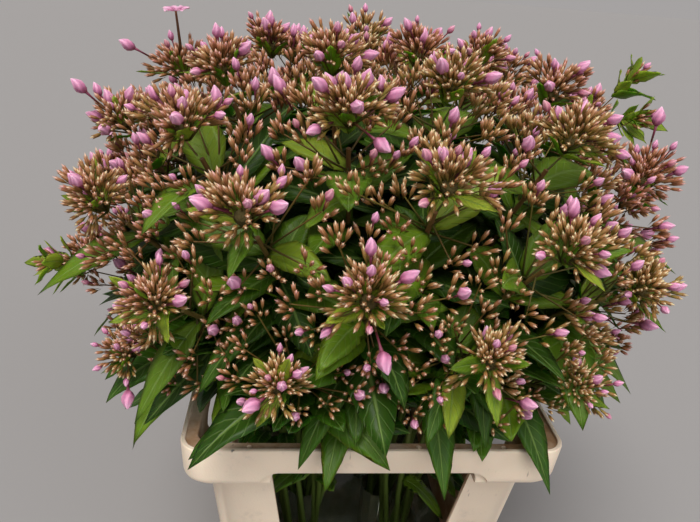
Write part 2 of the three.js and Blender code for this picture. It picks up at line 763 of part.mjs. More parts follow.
// Five flat petals on a dark tube
function openFlower(centre, middle) {
  const direction = middle.clone().sub(centre);
  const reach = direction.length();
  direction.divideScalar(reach);
  const tube = new THREE.CylinderGeometry(TUBE_RADIUS * 1.2, TUBE_RADIUS * 0.8, reach, FLOWER_TUBE_SIDES);
  tube.rotateX(Math.PI / 2).translate(0, 0, reach / 2);
  const facing = new THREE.Matrix4().makeRotationFromQuaternion(
    new THREE.Quaternion().setFromUnitVectors(UP, direction),
  ).setPosition(centre);
  const solids = [solidOfGeometry(tube.applyMatrix4(facing))];
  for (let petal = 0; petal < PETAL_COUNT; petal += 1) {
    const blade = new THREE.Shape();
    blade.moveTo(0, -PETAL_FOOT);
    blade.lineTo(FLOWER_RADIUS * PETAL_SHOULDER, -PETAL_HALF_WIDTH);
    blade.lineTo(FLOWER_RADIUS, 0);
    blade.lineTo(FLOWER_RADIUS * PETAL_SHOULDER, PETAL_HALF_WIDTH);
    blade.lineTo(0, PETAL_FOOT);
    const options = { depth: PETAL_THICKNESS, bevelEnabled: false };
    const geometry = new THREE.ExtrudeGeometry(blade, options);
    geometry.translate(0, 0, reach - PETAL_THICKNESS + petal * PETAL_LIFT);
    geometry.rotateZ(petal / PETAL_COUNT * Math.PI * 2);
    solids.push(solidOfGeometry(geometry.applyMatrix4(facing)));
  }
  return solids;
}

function drawCalyx(points, triangles, corners, middle, random) {
  points.push(middle.clone().multiplyScalar(CALYX_REACH * between(CALYX_LENGTH, random())));
  const tip = points.length - 1;
  corners.forEach((corner, side) => triangles.push([corner, corners[(side + 1) % 3], tip]));
}

function drawBud(points, triangles, corners, middle, random) {
  const reach = HEAD_RADIUS * between(BUD_LENGTH, random());
  const belly = points.length;
  for (const corner of corners) {
    const outward = points[corner].clone().projectOnPlane(middle).setLength(BUD_RADIUS);
    points.push(outward.addScaledVector(middle, reach * BUD_BELLY));
  }
  points.push(middle.clone().multiplyScalar(reach));
  const tip = belly + 3;
  corners.forEach((corner, side) => {
    const next = (side + 1) % 3;
    triangles.push([corner, corners[next], belly + next], [corner, belly + next, belly + side]);
    triangles.push([belly + side, belly + next, tip]);
  });
}

// Water with a plain hole for each bunch
function water() {
  const inset = (z) => bodyInset(z) + WALL + WATER_GAP;
  let body = lofted([
    wallRing(inset(8) + 4.3, 4 + WATER_GAP, 12),
    wallRing(inset(8), 8 + WATER_GAP, 16),
    wallRing(inset(WATER_LEVEL), WATER_LEVEL, 16),
  ]);
  for (let bunch = 0; bunch < BUNCH_COUNT; bunch += 1) {
    const { x, y } = bunchMiddle(bunch);
    const radius = STEM_HOLE_RADIUS;
    const hole = new THREE.CylinderGeometry(radius, radius, WATER_LEVEL * 3, STEM_HOLE_SIDES);
    hole.rotateX(Math.PI / 2).translate(x, y, 0);
    body = body.subtract(solidOfGeometry(hole));
  }
  return body;
}

// Assembly

const part = new THREE.Group();
part.add(meshOf(container(), 'container', CREAM));
part.add(meshOf(water(), 'water', WATER));

const heads = placeHeads();
const nearestHead = (point) => heads.reduce((best, head) => (
  head.centre.distanceTo(point) < best.centre.distanceTo(point) ? head : best
));
for (const place of LONG_BUDS) {
  const tip = new THREE.Vector3(...place);
  nearestHead(tip).longBuds.push(tip);
}
const flower = new THREE.Vector3(...FLOWER);
nearestHead(flower).flower = flower;

const obstacles = heads.map((head) => ({ centre: head.centre, radius: HEAD_RADIUS * head.size }));
for (const head of heads) {
  for (const tip of head.longBuds) {
    obstacles.push({ centre: tip.clone().lerp(head.centre, 0.2), radius: LONG_BUD_RADIUS + LONG_BUD_ROOM });
  }
}
const stems = bunchedStems(heads);
const taken = stems.flatMap((stem) => stemSamples(stem.path));
for (const place of OUTER_LEAVES) {
  const found = outerLeaf(new THREE.Vector3(...place), stems, obstacles, taken);
  if (found) {
    found.stem.leaves.push(found.leaf);
    taken.push(...leafSamples(found.leaf));
  }
}
for (const stem of stems) {
  const random = randomStream(LEAF_SEED + stem.head.index * LEAF_SEED_STEP);
  stem.leaves.push(...leavesOf(stem, stem.bunch, obstacles, taken, random));
}
for (let bunch = 0; bunch < BUNCH_COUNT; bunch += 1) {
  const solids = [tieBand(bunch)];
  for (const stem of stems.filter((member) => member.bunch === bunch)) {
    solids.push(stemSolid(stem), ...stem.leaves.map(leafSolid));
  }
  part.add(meshOf(joined(solids), `leafy_bunch_${bunch + 1}`, GREEN));
}
for (const head of heads) {
  const number = String(head.index + 1).padStart(2, '0');
  part.add(meshOf(headSolid(head), `head_${number}`, HEAD));
}

export default part;
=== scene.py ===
# %% [markdown]
# # Miss Ann garden phlox in a flower container
# Cut stems of garden phlox stand in water in a tall cream plastic container. Their heads are in bud
# and close up to a dome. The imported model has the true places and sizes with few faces. This
# script repeats the rule by which the plant grew there and puts finer pieces in the same places.

# %% Load the model
import math

import bmesh
import bpy
import numpy as np
from mathutils import Matrix, Vector


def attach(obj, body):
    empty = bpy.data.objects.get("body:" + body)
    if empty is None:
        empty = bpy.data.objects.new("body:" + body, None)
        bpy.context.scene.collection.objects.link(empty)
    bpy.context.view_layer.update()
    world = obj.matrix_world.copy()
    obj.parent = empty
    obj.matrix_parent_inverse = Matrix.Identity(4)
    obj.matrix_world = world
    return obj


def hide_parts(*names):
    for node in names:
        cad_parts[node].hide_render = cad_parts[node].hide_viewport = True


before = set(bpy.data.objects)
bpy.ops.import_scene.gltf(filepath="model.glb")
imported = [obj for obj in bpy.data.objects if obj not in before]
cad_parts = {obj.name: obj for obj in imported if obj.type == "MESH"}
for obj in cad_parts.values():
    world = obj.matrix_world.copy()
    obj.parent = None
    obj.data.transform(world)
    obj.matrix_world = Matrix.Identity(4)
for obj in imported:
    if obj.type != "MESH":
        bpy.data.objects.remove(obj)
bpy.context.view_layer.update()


# %% Put data in the scene as an object
def add_object(name, data):
    made = bpy.data.objects.new(name, data)
    bpy.context.scene.collection.objects.link(made)
    return made


# %% [markdown]
# ## Camera
# The photograph was taken from a little above the container's front, looking down, with the
# picture turned by a few degrees. The place and the angles were worked out from the rim's four
# corners. Lengths are in metres and the picture is 700 pixels wide.

# %% Set up the camera
PICTURE_WIDTH = 700
FOCAL_LENGTH_PX = 608.5
SENSOR_WIDTH = 36.0
NEAREST_SEEN = 0.01
CAMERA_PLACE = Vector((-0.0761, -0.5534, 0.6597))
CAMERA_PITCH = math.radians(24.475)
CAMERA_ROLL = math.radians(4.831)
CAMERA_YAW = math.radians(6.674)


def make_camera():
    forward = Vector((
        math.sin(CAMERA_YAW) * math.cos(CAMERA_PITCH),
        math.cos(CAMERA_YAW) * math.cos(CAMERA_PITCH),
        -math.sin(CAMERA_PITCH),
    ))
    level_right = Vector((math.cos(CAMERA_YAW), -math.sin(CAMERA_YAW), 0.0))
    level_up = level_right.cross(forward)
    right = level_right * math.cos(CAMERA_ROLL) + level_up * math.sin(CAMERA_ROLL)
    up = level_up * math.cos(CAMERA_ROLL) - level_right * math.sin(CAMERA_ROLL)
    data = bpy.data.cameras.new("camera")
    data.sensor_width = SENSOR_WIDTH
    data.lens = SENSOR_WIDTH * FOCAL_LENGTH_PX / PICTURE_WIDTH
    data.clip_start = NEAREST_SEEN
    camera = add_object("camera", data)
    turn = Matrix((right, up, -forward)).transposed().to_4x4()
    camera.matrix_world = Matrix.Translation(CAMERA_PLACE) @ turn
    bpy.context.scene.camera = camera
    return camera


camera = make_camera()
print("camera lens", round(camera.data.lens, 2), "mm")

# %% [markdown]
# ## Growth rule: heads
# Every stem carries one head. The heads could be scattered at random, but then some would touch
# and others would leave holes. So they stand a golden angle apart round a dome, and each has an
# equal share of its surface, as seeds do in a sunflower. That spreads them evenly with no rows.
# The rule works in millimetres, like the model's own drawing.

# %% Numbers of the dome and its heads
MM = 0.001
HEAD_COUNT = 52
DOME_HALF_WIDTH = 240.0
DOME_HALF_DEPTH = 235.0
DOME_RISE = 155.0
DOME_MIDDLE = 450.0
DOME_EXPONENT = 2.5
DOME_SWEEP = math.radians(112)
DOME_START = math.radians(321)
DOME_STEPS = 400
GOLDEN_ANGLE = math.pi * (3 - math.sqrt(5))
HEAD_RADIUS = 38.0
HEAD_LIFT = 0.55
HEAD_SEAT = 25.0
LOW_HEADS_FROM = 0.6
LOW_HEAD_SIZE = 0.7
CONTAINER_HEIGHT = 340.0


# %% Vectors, directions and repeatable chance
RANDOM_FACTOR = 16807
RANDOM_LIMIT = 2147483647


def unit(vector):
    return vector / math.sqrt(vector @ vector)


def vector(*values):
    return np.array(values, dtype=float)


def between(limits, share):
    return limits[0] + (limits[1] - limits[0]) * share


def turned_from_up(direction):
    """The shortest turn that takes the upright direction to this one, as a 3 x 3 matrix."""
    x, y, w = unit(vector(-direction[1], direction[0], 1 + direction[2]))
    return np.array([
        [1 - 2 * y * y, 2 * x * y, 2 * y * w],
        [2 * x * y, 1 - 2 * x * x, -2 * x * w],
        [-2 * y * w, 2 * x * w, 1 - 2 * (x * x + y * y)],
    ])


def random_stream(seed):
    """A repeatable stream of numbers from 0 to 1."""
    state = seed

    def draw():
        nonlocal state
        state = state * RANDOM_FACTOR % RANDOM_LIMIT
        return state / RANDOM_LIMIT

    return draw


# %% The six bunches and the upright planes between them
BUNCH_COUNT = 6
BUNCH_X = 45.0
BUNCH_Y = 92.0
ROW_PLANE_Y = 50.0
ROW_PLANE_LEAN = 0.047


def row_plane(height):
    """How far the planes between the three rows of bunches stand from the middle."""
    return ROW_PLANE_Y + ROW_PLANE_LEAN * height


def bunch_of(point):
    """The number of the bunch that this point belongs to, from 0 to 5."""
    edge = row_plane(point[2])
    row = 2 if point[1] > edge else int(point[1] > -edge)
    return row * 2 + int(point[0] > 0)


def bunch_middle(bunch):
    x = BUNCH_X if bunch % 2 == 1 else -BUNCH_X
    return vector(x, (bunch // 2 - 1) * BUNCH_Y, 0)


def kept_inside(point, bunch, margin):
    """The point, moved to its bunch's side of the planes between the bunches."""
    x, y, z = point
    edge = row_plane(z)
    x = max(x, margin) if bunch % 2 == 1 else min(x, -margin)
    if bunch // 2 == 0:
        y = min(y, -edge - margin)
    elif bunch // 2 == 1:
        y = max(min(y, edge - margin), margin - edge)
    else:
        y = max(y, edge + margin)
    return vector(x, y, z)


# %% Points that share the dome evenly
def dome_surface(count, first_turn):
    """Points on the dome, each with an equal share of it, and their outward directions."""
    angle = DOME_SWEEP * np.arange(DOME_STEPS + 1) / DOME_STEPS
    reach = np.sin(angle) ** (2 / DOME_EXPONENT)
    rise = np.sign(np.cos(angle)) * np.abs(np.cos(angle)) ** (2 / DOME_EXPONENT)
    mean_half = (DOME_HALF_WIDTH + DOME_HALF_DEPTH) / 2
    slope = np.hypot(np.diff(reach) * mean_half, np.diff(rise) * DOME_RISE)
    area = np.concatenate([[0], np.cumsum((reach[:-1] + reach[1:]) / 2 * slope)])
    surface = []
    for index in range(count):
        share = (index + 0.5) / count * area[-1]
        point_reach = np.interp(share, area, reach)
        point_rise = np.interp(share, area, rise)
        turn = first_turn + index * GOLDEN_ANGLE
        across = abs(math.cos(turn)) / DOME_HALF_WIDTH
        along = abs(math.sin(turn)) / DOME_HALF_DEPTH
        half = (across ** DOME_EXPONENT + along ** DOME_EXPONENT) ** (-1 / DOME_EXPONENT)
        x = point_reach * half * math.cos(turn)
        y = point_reach * half * math.sin(turn)
        outward = vector(x / DOME_HALF_WIDTH, y / DOME_HALF_DEPTH, max(point_rise, 0) + HEAD_LIFT)
        surface.append((vector(x, y, DOME_MIDDLE + DOME_RISE * point_rise), unit(outward)))
    return surface


# %% Place the heads
STEM_MARGIN = 5.0


def place_heads():
    """The heads in the order in which they grow, from the crown down to the lowest ones."""
    heads = []
    for index, (centre, outward) in enumerate(dome_surface(HEAD_COUNT, DOME_START)):
        below = centre - outward * HEAD_SEAT
        bunch = bunch_of(below)
        axis = unit(centre - kept_inside(below, bunch, STEM_MARGIN))
        low = max((index / HEAD_COUNT - LOW_HEADS_FROM) / (1 - LOW_HEADS_FROM), 0)
        heads.append({
            "index": index,
            "bunch": bunch,
            "centre": centre,
            "axis": axis,
            "seat": centre - axis * HEAD_SEAT,
            "size": 1 - (1 - LOW_HEAD_SIZE) * low,
            "long_buds": [],
            "sprays": [],
        })
    return heads


heads = place_heads()
print(len(heads), "heads placed")

# %% Give the long buds and the flower to their heads
LONG_BUDS = [
    (-226, 18, 600), (-247, -49, 576), (-272, -91, 447), (-186, -186, 366), (200, -112, 594),
    (266, -116, 448), (163, -57, 618), (-15, -267, 457), (-99, -252, 418), (-13, -184, 566),
]
FLOWER_PLACE = vector(-177, 20, 627)


def nearest_head(point):
    return min(heads, key=lambda head: math.dist(head["centre"], point))


for place in LONG_BUDS:
    nearest_head(place)["long_buds"].append(vector(*place))
flower_head = nearest_head(FLOWER_PLACE)
print("the flower is on head", flower_head["index"] + 1)

# %% [markdown]
# ## Growth rule: stems
# A real bunch is tied near its foot and spreads from the container's neck. A straight line from
# foot to head would pass through the container's wall, so each stem runs as a smooth curve from
# its tie through the neck to the underside of its head.

# %% Lay the stems
STEM_FOOT = 8.0
TIE_HEIGHT = 85.0
FOOT_SPLAY = 14.0
TIE_RING = 10.5
NECK_HEIGHT = 345.0
OVER_RIM = 47.0
NECK_HALF_WIDTH = 105.0
NECK_HALF_DEPTH = 155.0
STEM_STEPS = 5
STEM_BOW = 0.45


def curve_points(start, pull, push, end, steps):
    points = []
    for step in range(steps + 1):
        t = step / steps
        k = 1 - t
        points.append(k ** 3 * start + 3 * k * k * t * pull + 3 * k * t * t * push + t ** 3 * end)
    return points


def stem_points(head, bunch, ring_turn):
    middle = bunch_middle(bunch)
    outward = vector(math.cos(ring_turn), math.sin(ring_turn), 0)
    foot = middle + outward * FOOT_SPLAY + vector(0, 0, STEM_FOOT)
    tie = middle + outward * TIE_RING + vector(0, 0, TIE_HEIGHT)
    seat = head["seat"]
    neck_x = seat[0] * NECK_HALF_WIDTH / DOME_HALF_WIDTH
    neck_y = seat[1] * NECK_HALF_DEPTH / DOME_HALF_DEPTH
    neck = kept_inside(vector(neck_x, neck_y, NECK_HEIGHT), bunch, STEM_MARGIN)
    below = seat - head["axis"] * math.dist(seat, neck) * STEM_BOW
    below[2] = max(below[2], CONTAINER_HEIGHT + OVER_RIM)
    below = kept_inside(below, bunch, STEM_MARGIN)
    return [foot] + curve_points(tie, neck, below, seat, STEM_STEPS)


def bunched_stems():
    stems = []
    for bunch in range(BUNCH_COUNT):
        middle = bunch_middle(bunch)

        def turn_of(head):
            return math.atan2(head["seat"][1] - middle[1], head["seat"][0] - middle[0])

        members = sorted((head for head in heads if head["bunch"] == bunch), key=turn_of)
        for rank, head in enumerate(members):
            ring_turn = turn_of(members[0]) + rank / len(members) * math.pi * 2
            path = stem_points(head, bunch, ring_turn)
            stems.append({"head": head, "bunch": bunch, "path": path, "leaves": []})
    return sorted(stems, key=lambda stem: -stem["head"]["index"])


def point_below_head(path, distance):
    """The point this far down the stem from its head, and the stem's direction there."""
    left = distance
    for end, start in zip(path[:0:-1], path[-2::-1]):
        step = end - start
        length = math.sqrt(step @ step)
        tangent = step / length
        if left <= length:
            return end - tangent * left, tangent
        left -= length
    return None


stems = bunched_stems()
print(len(stems), "stems laid")

# %% [markdown]
# ## Growth rule: leaves
# Phlox leaves stand in pairs, each pair a quarter turn from the one above. A leaf that would run
# into a neighbour turns a little round its stem until it is free, and stays away if it never is.
# Large leaves hang over the rim where the photograph shows them, so those are given by their tips.

# %% Numbers of the leaves
CROWN_HEADS = 18
CROWN_LEAF_PAIRS = 2
LEAF_FIRST = 20.0
LEAF_SPACING = 52.0
LEAF_LOWEST = 215.0
LEAF_LENGTH = 98.0
LEAF_WIDTH = 0.36
LEAF_WAVE = 1.5
LEAF_WAVES = 9.0
LEAF_OPENING = (0.85, 1.2)
LEAF_DROOP = (0.25, 0.6)
LEAF_SIZE = (0.85, 1.15)
YOUNGEST_LEAF = 0.55
LEAF_GROWTH = 0.25
LEAF_SEED = 500
LEAF_SEED_STEP = 31
LEAF_MARGIN = 1.5
HEAD_MARGIN = 4.0
LEAF_ROOM = 12.0
LEAF_STATIONS = np.arange(3, 15) / 14
BLADE_SKEW = 0.8
BLADE_FULLNESS = 0.85
LEAF_TURNS = (0, 25, -25, 50, -50, 75, -75)
LEAF_DROOPS = (1, 0.4, -0.4)
LONG_BUD_OBSTACLE = 9.5
LONG_BUD_INWARD = 0.2
STEM_SAMPLES = 28
STEM_SAMPLE_STEP = 9.0
OUTER_LEAVES = [
    (-222, -120, 344), (-252, -40, 428), (-196, -150, 296), (-42, -226, 326), (-62, -224, 345),
    (128, -226, 322), (231, -110, 312), (270, -58, 380), (72, -222, 362), (-195, -150, 437),
    (166, -160, 385), (228, 60, 330), (-225, 70, 320), (60, 228, 330), (-70, 228, 340),
    (-138, -222, 352),
]

# %% The container's walls, which leaves keep clear of
RIM_WIDTH = 300.0
RIM_DEPTH = 400.0
COLLAR_HEIGHT = 37.0
COLLAR_STEP = 17.0
WALL = 3.5
BODY_TAPER = 0.1
WINDOW_DROP = 22.0
WINDOW_HEIGHT = 100.0
WATER_LEVEL = 110.0
WINDOW_FOOT = CONTAINER_HEIGHT - WINDOW_DROP - WINDOW_HEIGHT
OUTSIDE_ROOM = 5.0
WALL_ROOM = 8.0
RIM_ROOM = 3.0
WATER_ROOM = 10.0


def body_inset(height):
    return COLLAR_STEP + BODY_TAPER * (CONTAINER_HEIGHT - COLLAR_HEIGHT - height)


def clear_of_container(points):
    """Which of the points are above the rim, outside it, or inside the walls and above water."""
    x, y, z = points.T
    outside = np.maximum(np.abs(x) - RIM_WIDTH / 2, np.abs(y) - RIM_DEPTH / 2)
    inner = -(body_inset(np.minimum(z, WINDOW_FOOT)) + WALL + WALL_ROOM)
    beside = (outside > OUTSIDE_ROOM) | (outside < inner)
    return (z > CONTAINER_HEIGHT + RIM_ROOM) | ((z >= WATER_LEVEL + WATER_ROOM) & beside)


def inside_bunch(points, bunch):
    """How far inside its bunch's planes each point lies."""
    x, y, z = points.T
    edge = row_plane(z)
    sideways = x if bunch % 2 == 1 else -x
    if bunch // 2 == 0:
        return np.minimum(sideways, -edge - y)
    if bunch // 2 == 1:
        return np.minimum(sideways, edge - np.abs(y))
    return np.minimum(sideways, y - edge)


# %% Where a blade runs, and whether it is free
def leaf_samples(leaf):
    """Points down the midrib and both edges of a drooping, wavy blade."""
    share = LEAF_STATIONS[:, None]
    middle = leaf["foot"] + leaf["direction"] * leaf["length"] * share
    middle = middle - UP * leaf["droop"] * leaf["length"] * share ** 2
    half_width = leaf["width"] / 2 * np.sin(math.pi * share ** BLADE_SKEW) ** BLADE_FULLNESS
    slope = leaf["direction"] - UP * 2 * leaf["droop"] * share
    slope = slope / np.linalg.norm(slope, axis=1, keepdims=True)
    normal = np.cross(slope, leaf["side"])
    normal = normal / np.linalg.norm(normal, axis=1, keepdims=True)
    wave = leaf["wave"] * np.sin(share * LEAF_WAVES + leaf["phase"])
    left = middle - leaf["side"] * half_width + normal * wave
    right = middle + leaf["side"] * half_width - normal * wave
    return np.concatenate([middle, left, right])


def leaf_clear(leaf, bunch):
    points = leaf_samples(leaf)
    if inside_bunch(points, bunch).min() < LEAF_MARGIN or not clear_of_container(points).all():
        return False
    if (np.linalg.norm(points[:, None] - ball_centres, axis=2) < ball_radii + HEAD_MARGIN).any():
        return False
    near = np.abs(taken["points"] - points.mean(axis=0)).max(axis=1) < LEAF_LENGTH
    gaps = np.linalg.norm(points[:, None] - taken["points"][near], axis=2)
    return not (gaps < LEAF_ROOM).any()


def take(points):
    taken["points"] = np.concatenate([taken["points"], points])


UP = vector(0, 0, 1)
balls = [(head["centre"], HEAD_RADIUS * head["size"]) for head in heads]
for head in heads:
    for tip in head["long_buds"]:
        balls.append((tip + (head["centre"] - tip) * LONG_BUD_INWARD, LONG_BUD_OBSTACLE))
ball_centres = np.array([centre for centre, radius in balls])
ball_radii = np.array([radius for centre, radius in balls])
for stem in stems:
    stem["samples"] = [
        point_below_head(stem["path"], count * STEM_SAMPLE_STEP)[0] for count in range(STEM_SAMPLES)
    ]
taken = {"points": np.array([point for stem in stems for point in stem["samples"]])}
print(len(balls), "balls and", len(taken["points"]), "stem points to keep clear of")

# %% Leaves that are given by their tips
LEAF_SHORT_REACH = 60.0
LEAF_LONG_REACH = 125.0
LEAF_BEST_REACH = 88.0
LEAF_HANG = 0.4
LOWEST_FOOT_BELOW_TIP = 20.0


def outer_leaf(tip):
    """Grow a leaf to this tip from the stem point whose distance suits it best."""
    bunch = bunch_of(tip)
    feet = []
    for stem in stems:
        for foot in stem["samples"] if stem["bunch"] == bunch else []:
            reach = math.dist(foot, tip)
            low = foot[2] < max(tip[2] - LOWEST_FOOT_BELOW_TIP, LEAF_LOWEST)
            if LEAF_SHORT_REACH < reach < LEAF_LONG_REACH and not low:
                feet.append((stem, foot, reach))
    feet.sort(key=lambda entry: abs(entry[2] - LEAF_BEST_REACH))
    for stem, foot, reach in feet:
        hang = LEAF_HANG * reach
        direction = tip - foot + UP * hang
        length = math.sqrt(direction @ direction)
        leaf = {
            "foot": foot,
            "direction": direction / length,
            "side": unit(np.cross(UP, direction)),
            "length": length,
            "width": LEAF_WIDTH * length,
            "droop": hang / length,
            "wave": LEAF_WAVE,
            "phase": reach,
        }
        if leaf_clear(leaf, bunch):
            stem["leaves"].append(leaf)
            take(leaf_samples(leaf))
            return


for place in OUTER_LEAVES:
    outer_leaf(vector(*place))
print(sum(len(stem["leaves"]) for stem in stems), "large outer leaves")


# %% Leaf pairs down each stem
def choose_leaf(foot, tangent, turn_up, turn, size, chance, bunch):
    """The first leaf that is free, tried at several turns and then with less droop."""
    for droop in LEAF_DROOPS:
        for offset in LEAF_TURNS:
            angle = turn + math.radians(offset)
            outward = turn_up @ vector(math.cos(angle), math.sin(angle), 0)
            opening = between(LEAF_OPENING, chance)
            leaf = {
                "foot": foot,
                "direction": tangent * math.cos(opening) + outward * math.sin(opening),
                "side": turn_up @ vector(-math.sin(angle), math.cos(angle), 0),
                "length": LEAF_LENGTH * size,
                "width": LEAF_WIDTH * LEAF_LENGTH * size,
                "droop": between(LEAF_DROOP, chance) * droop,
                "wave": LEAF_WAVE * size,
                "phase": chance * math.pi * 2,
            }
            if leaf_clear(leaf, bunch):
                return leaf
    return None


def grow_leaves(stem):
    index = stem["head"]["index"]
    draw = random_stream(LEAF_SEED + index * LEAF_SEED_STEP)
    first_turn = draw() * math.pi
    pair = 0
    while index >= CROWN_HEADS or pair < CROWN_LEAF_PAIRS:
        foot, tangent = point_below_head(stem["path"], LEAF_FIRST + LEAF_SPACING * pair)
        if foot[2] < LEAF_LOWEST:
            break
        turn_up = turned_from_up(tangent)
        for half in range(2):
            turn = first_turn + pair * math.pi / 2 + half * math.pi
            size = min(YOUNGEST_LEAF + LEAF_GROWTH * pair, 1) * between(LEAF_SIZE, draw())
            leaf = choose_leaf(foot, tangent, turn_up, turn, size, draw(), stem["bunch"])
            if leaf:
                stem["leaves"].append(leaf)
                take(leaf_samples(leaf))
        pair += 1


for stem in stems:
    grow_leaves(stem)
leaf_count = sum(len(stem["leaves"]) for stem in stems)
print(leaf_count, "leaves in all")


# %% Compare the repeated rule with the model
TIP_TOLERANCE = 0.2


def leaf_tip(leaf):
    return leaf["foot"] + (leaf["direction"] - UP * leaf["droop"]) * leaf["length"]


def node_points(name):
    """The corner points of one of the model's nodes, in millimetres."""
    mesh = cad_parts[name].data
    points = np.empty(len(mesh.vertices) * 3)
    mesh.vertices.foreach_get("co", points)
    return points.reshape(-1, 3) / MM


def check_rule():
    missed = 0
    solids = [node_points(f"leafy_bunch_{bunch + 1}") for bunch in range(BUNCH_COUNT)]
    for stem in stems:
        for leaf in stem["leaves"]:
            gaps = np.linalg.norm(solids[stem["bunch"]] - leaf_tip(leaf), axis=1)
            missed += gaps.min() > TIP_TOLERANCE
    print("leaf tips that the model doesn't have:", missed, "of", leaf_count)


check_rule()

# %% [markdown]
# ## Studio
# A backdrop could be a curved sheet, but a level one is simpler. A plain pale floor runs out of
# sight, and the room has its tone, so that no horizon shows in the photograph's view. A wide soft
# sun shines from the upper left, where the photograph's light comes from, and a weaker one fills
# the front. The room itself gives even light from all round.

# %% Floor and light
FLOOR_HALF = 60.0
FLOOR_COLOUR = (0.262, 0.255, 0.255, 1)
ROOM_COLOUR = (0.380, 0.364, 0.361, 1)
FLOOR_ROUGHNESS = 0.9
ROOM_LIGHT = 1.0
KEY_STRENGTH = 3.0
KEY_SOFTNESS = math.radians(30)
FILL_STRENGTH = 1.0
FILL_SOFTNESS = math.radians(60)


def make_floor():
    mesh = bpy.data.meshes.new("floor")
    side = FLOOR_HALF
    corners = [(-side, -side, 0), (side, -side, 0), (side, side, 0), (-side, side, 0)]
    mesh.from_pydata(corners, [], [(0, 1, 2, 3)])
    floor = add_object("floor", mesh)
    material = bpy.data.materials.new("pale_floor")
    material.use_nodes = True
    shader = material.node_tree.nodes["Principled BSDF"]
    shader.inputs["Base Color"].default_value = FLOOR_COLOUR
    shader.inputs["Roughness"].default_value = FLOOR_ROUGHNESS
    mesh.materials.append(material)


def add_sun(name, place, strength, softness, colour):
    data = bpy.data.lights.new(name, "SUN")
    data.energy = strength
    data.angle = softness
    data.color = colour
    sun = add_object(name, data)
    sun.rotation_euler = (-Vector(place)).to_track_quat("-Z", "Y").to_euler()


def light_room():
    world = bpy.data.worlds.new("room")
    world.use_nodes = True
    background = world.node_tree.nodes["Background"]
    background.inputs["Color"].default_value = ROOM_COLOUR
    background.inputs["Strength"].default_value = ROOM_LIGHT
    bpy.context.scene.world = world


make_floor()
light_room()
add_sun("key_sun", (-0.6, -0.9, 2.2), KEY_STRENGTH, KEY_SOFTNESS, (1.0, 0.97, 0.93))
add_sun("fill_sun", (0.9, -1.6, 0.9), FILL_STRENGTH, FILL_SOFTNESS, (0.97, 0.98, 1.0))
bpy.context.scene.view_settings.view_transform = "Standard"
print("studio ready")

# %% [markdown]
# ## Node helpers
# Every material and every Geometry Nodes tree below is built by a few short calls. A value that
# is a socket is linked, and any other value is set on the input itself.

# %% Build nodes with one call each
def add_node(tree, kind, settings=None, **inputs):
    node = tree.nodes.new(kind)
    for name, value in (settings or {}).items():
        setattr(node, name, value)
    for name, value in inputs.items():
        set_or_link(tree, pick_input(node, name), value)
    return node


def pick_input(node, name):
    """Inputs are named in small letters, and in_0, in_1 are those whose names are alike."""
    if name.startswith("in_"):
        return node.inputs[int(name[3:])]
    wanted = name.replace("_", " ")
    return next(s for s in node.inputs if s.name.lower() == wanted and s.enabled)


def calculate(tree, operation, first, second=0.0, third=0.0):
    settings = {"operation": operation}
    return add_node(tree, "ShaderNodeMath", settings, in_0=first, in_1=second, in_2=third).outputs[0]


def combine(tree, operation, first, second):
    """Vector arithmetic. To scale a vector, the second value is its factor."""
    node = add_node(tree, "ShaderNodeVectorMath", {"operation": operation}, in_0=first)
    if operation == "SCALE":
        set_or_link(tree, node.inputs["Scale"], second)
    else:
        set_or_link(tree, node.inputs[1], second)
    return node.outputs[0]


def set_or_link(tree, socket, value):
    if isinstance(value, bpy.types.NodeSocket):
        tree.links.new(value, socket)
    else:
        socket.default_value = value


def colour_ramp(tree, factor, stops):
    """A ramp through (place, colour) stops."""
    node = add_node(tree, "ShaderNodeValToRGB", in_0=factor)
    elements = node.color_ramp.elements
    for place, colour in stops[1:-1]:
        elements.new(place)
    for element, (place, colour) in zip(elements, stops):
        element.position = place
        element.color = (*colour, 1)
    return node.outputs["Color"]


def mix_colours(tree, factor, first, second, blend="MIX"):
    """The node's inputs 6 and 7 take the colours, as sockets or as red, green and blue."""
    node = add_node(tree, "ShaderNodeMix", {"data_type": "RGBA", "blend_type": blend})
    set_or_link(tree, node.inputs[0], factor)
    for number, colour in ((6, first), (7, second)):
        is_socket = isinstance(colour, bpy.types.NodeSocket)
        set_or_link(tree, node.inputs[number], colour if is_socket else (*colour, 1))
    return node.outputs[2]


def range_of(tree, value, low, high, to_low=0.0, to_high=1.0):
    """Stretch the range from low to high to another one, and cut off what lies beyond."""
    return add_node(
        tree, "ShaderNodeMapRange",
        value=value, from_min=low, from_max=high, to_min=to_low, to_max=to_high,
    ).outputs[0]


def object_place(tree):
    return add_node(tree, "ShaderNodeTexCoord").outputs["Object"]


def noise(tree, scale, detail=3.0, roughness=0.5, place=None):
    place = place or object_place(tree)
    made = add_node(
        tree, "ShaderNodeTexNoise", vector=place, scale=scale, detail=detail, roughness=roughness,
    )
    return made.outputs["Fac"]


def attribute(tree, name):
    return add_node(tree, "ShaderNodeAttribute", {"attribute_name": name}).outputs["Fac"]


def start_material(name, roughness, specular=0.5):
    material = bpy.data.materials.new(name)
    material.use_nodes = True
    shader = material.node_tree.nodes["Principled BSDF"]
    shader.inputs["Roughness"].default_value = roughness
    shader.inputs["Specular IOR Level"].default_value = specular
    return material, material.node_tree, shader


def paint(tree, shader, colour):
    tree.links.new(colour, shader.inputs["Base Color"])


def scatter(shader, weight, scale):
    """Let light into the surface and out again nearby."""
    shader.inputs["Subsurface Weight"].default_value = weight
    shader.inputs["Subsurface Scale"].default_value = scale


def bump(tree, shader, height, distance, strength=1.0):
    node = add_node(tree, "ShaderNodeBump", distance=distance, strength=strength, height=height)
    tree.links.new(node.outputs["Normal"], shader.inputs["Normal"])


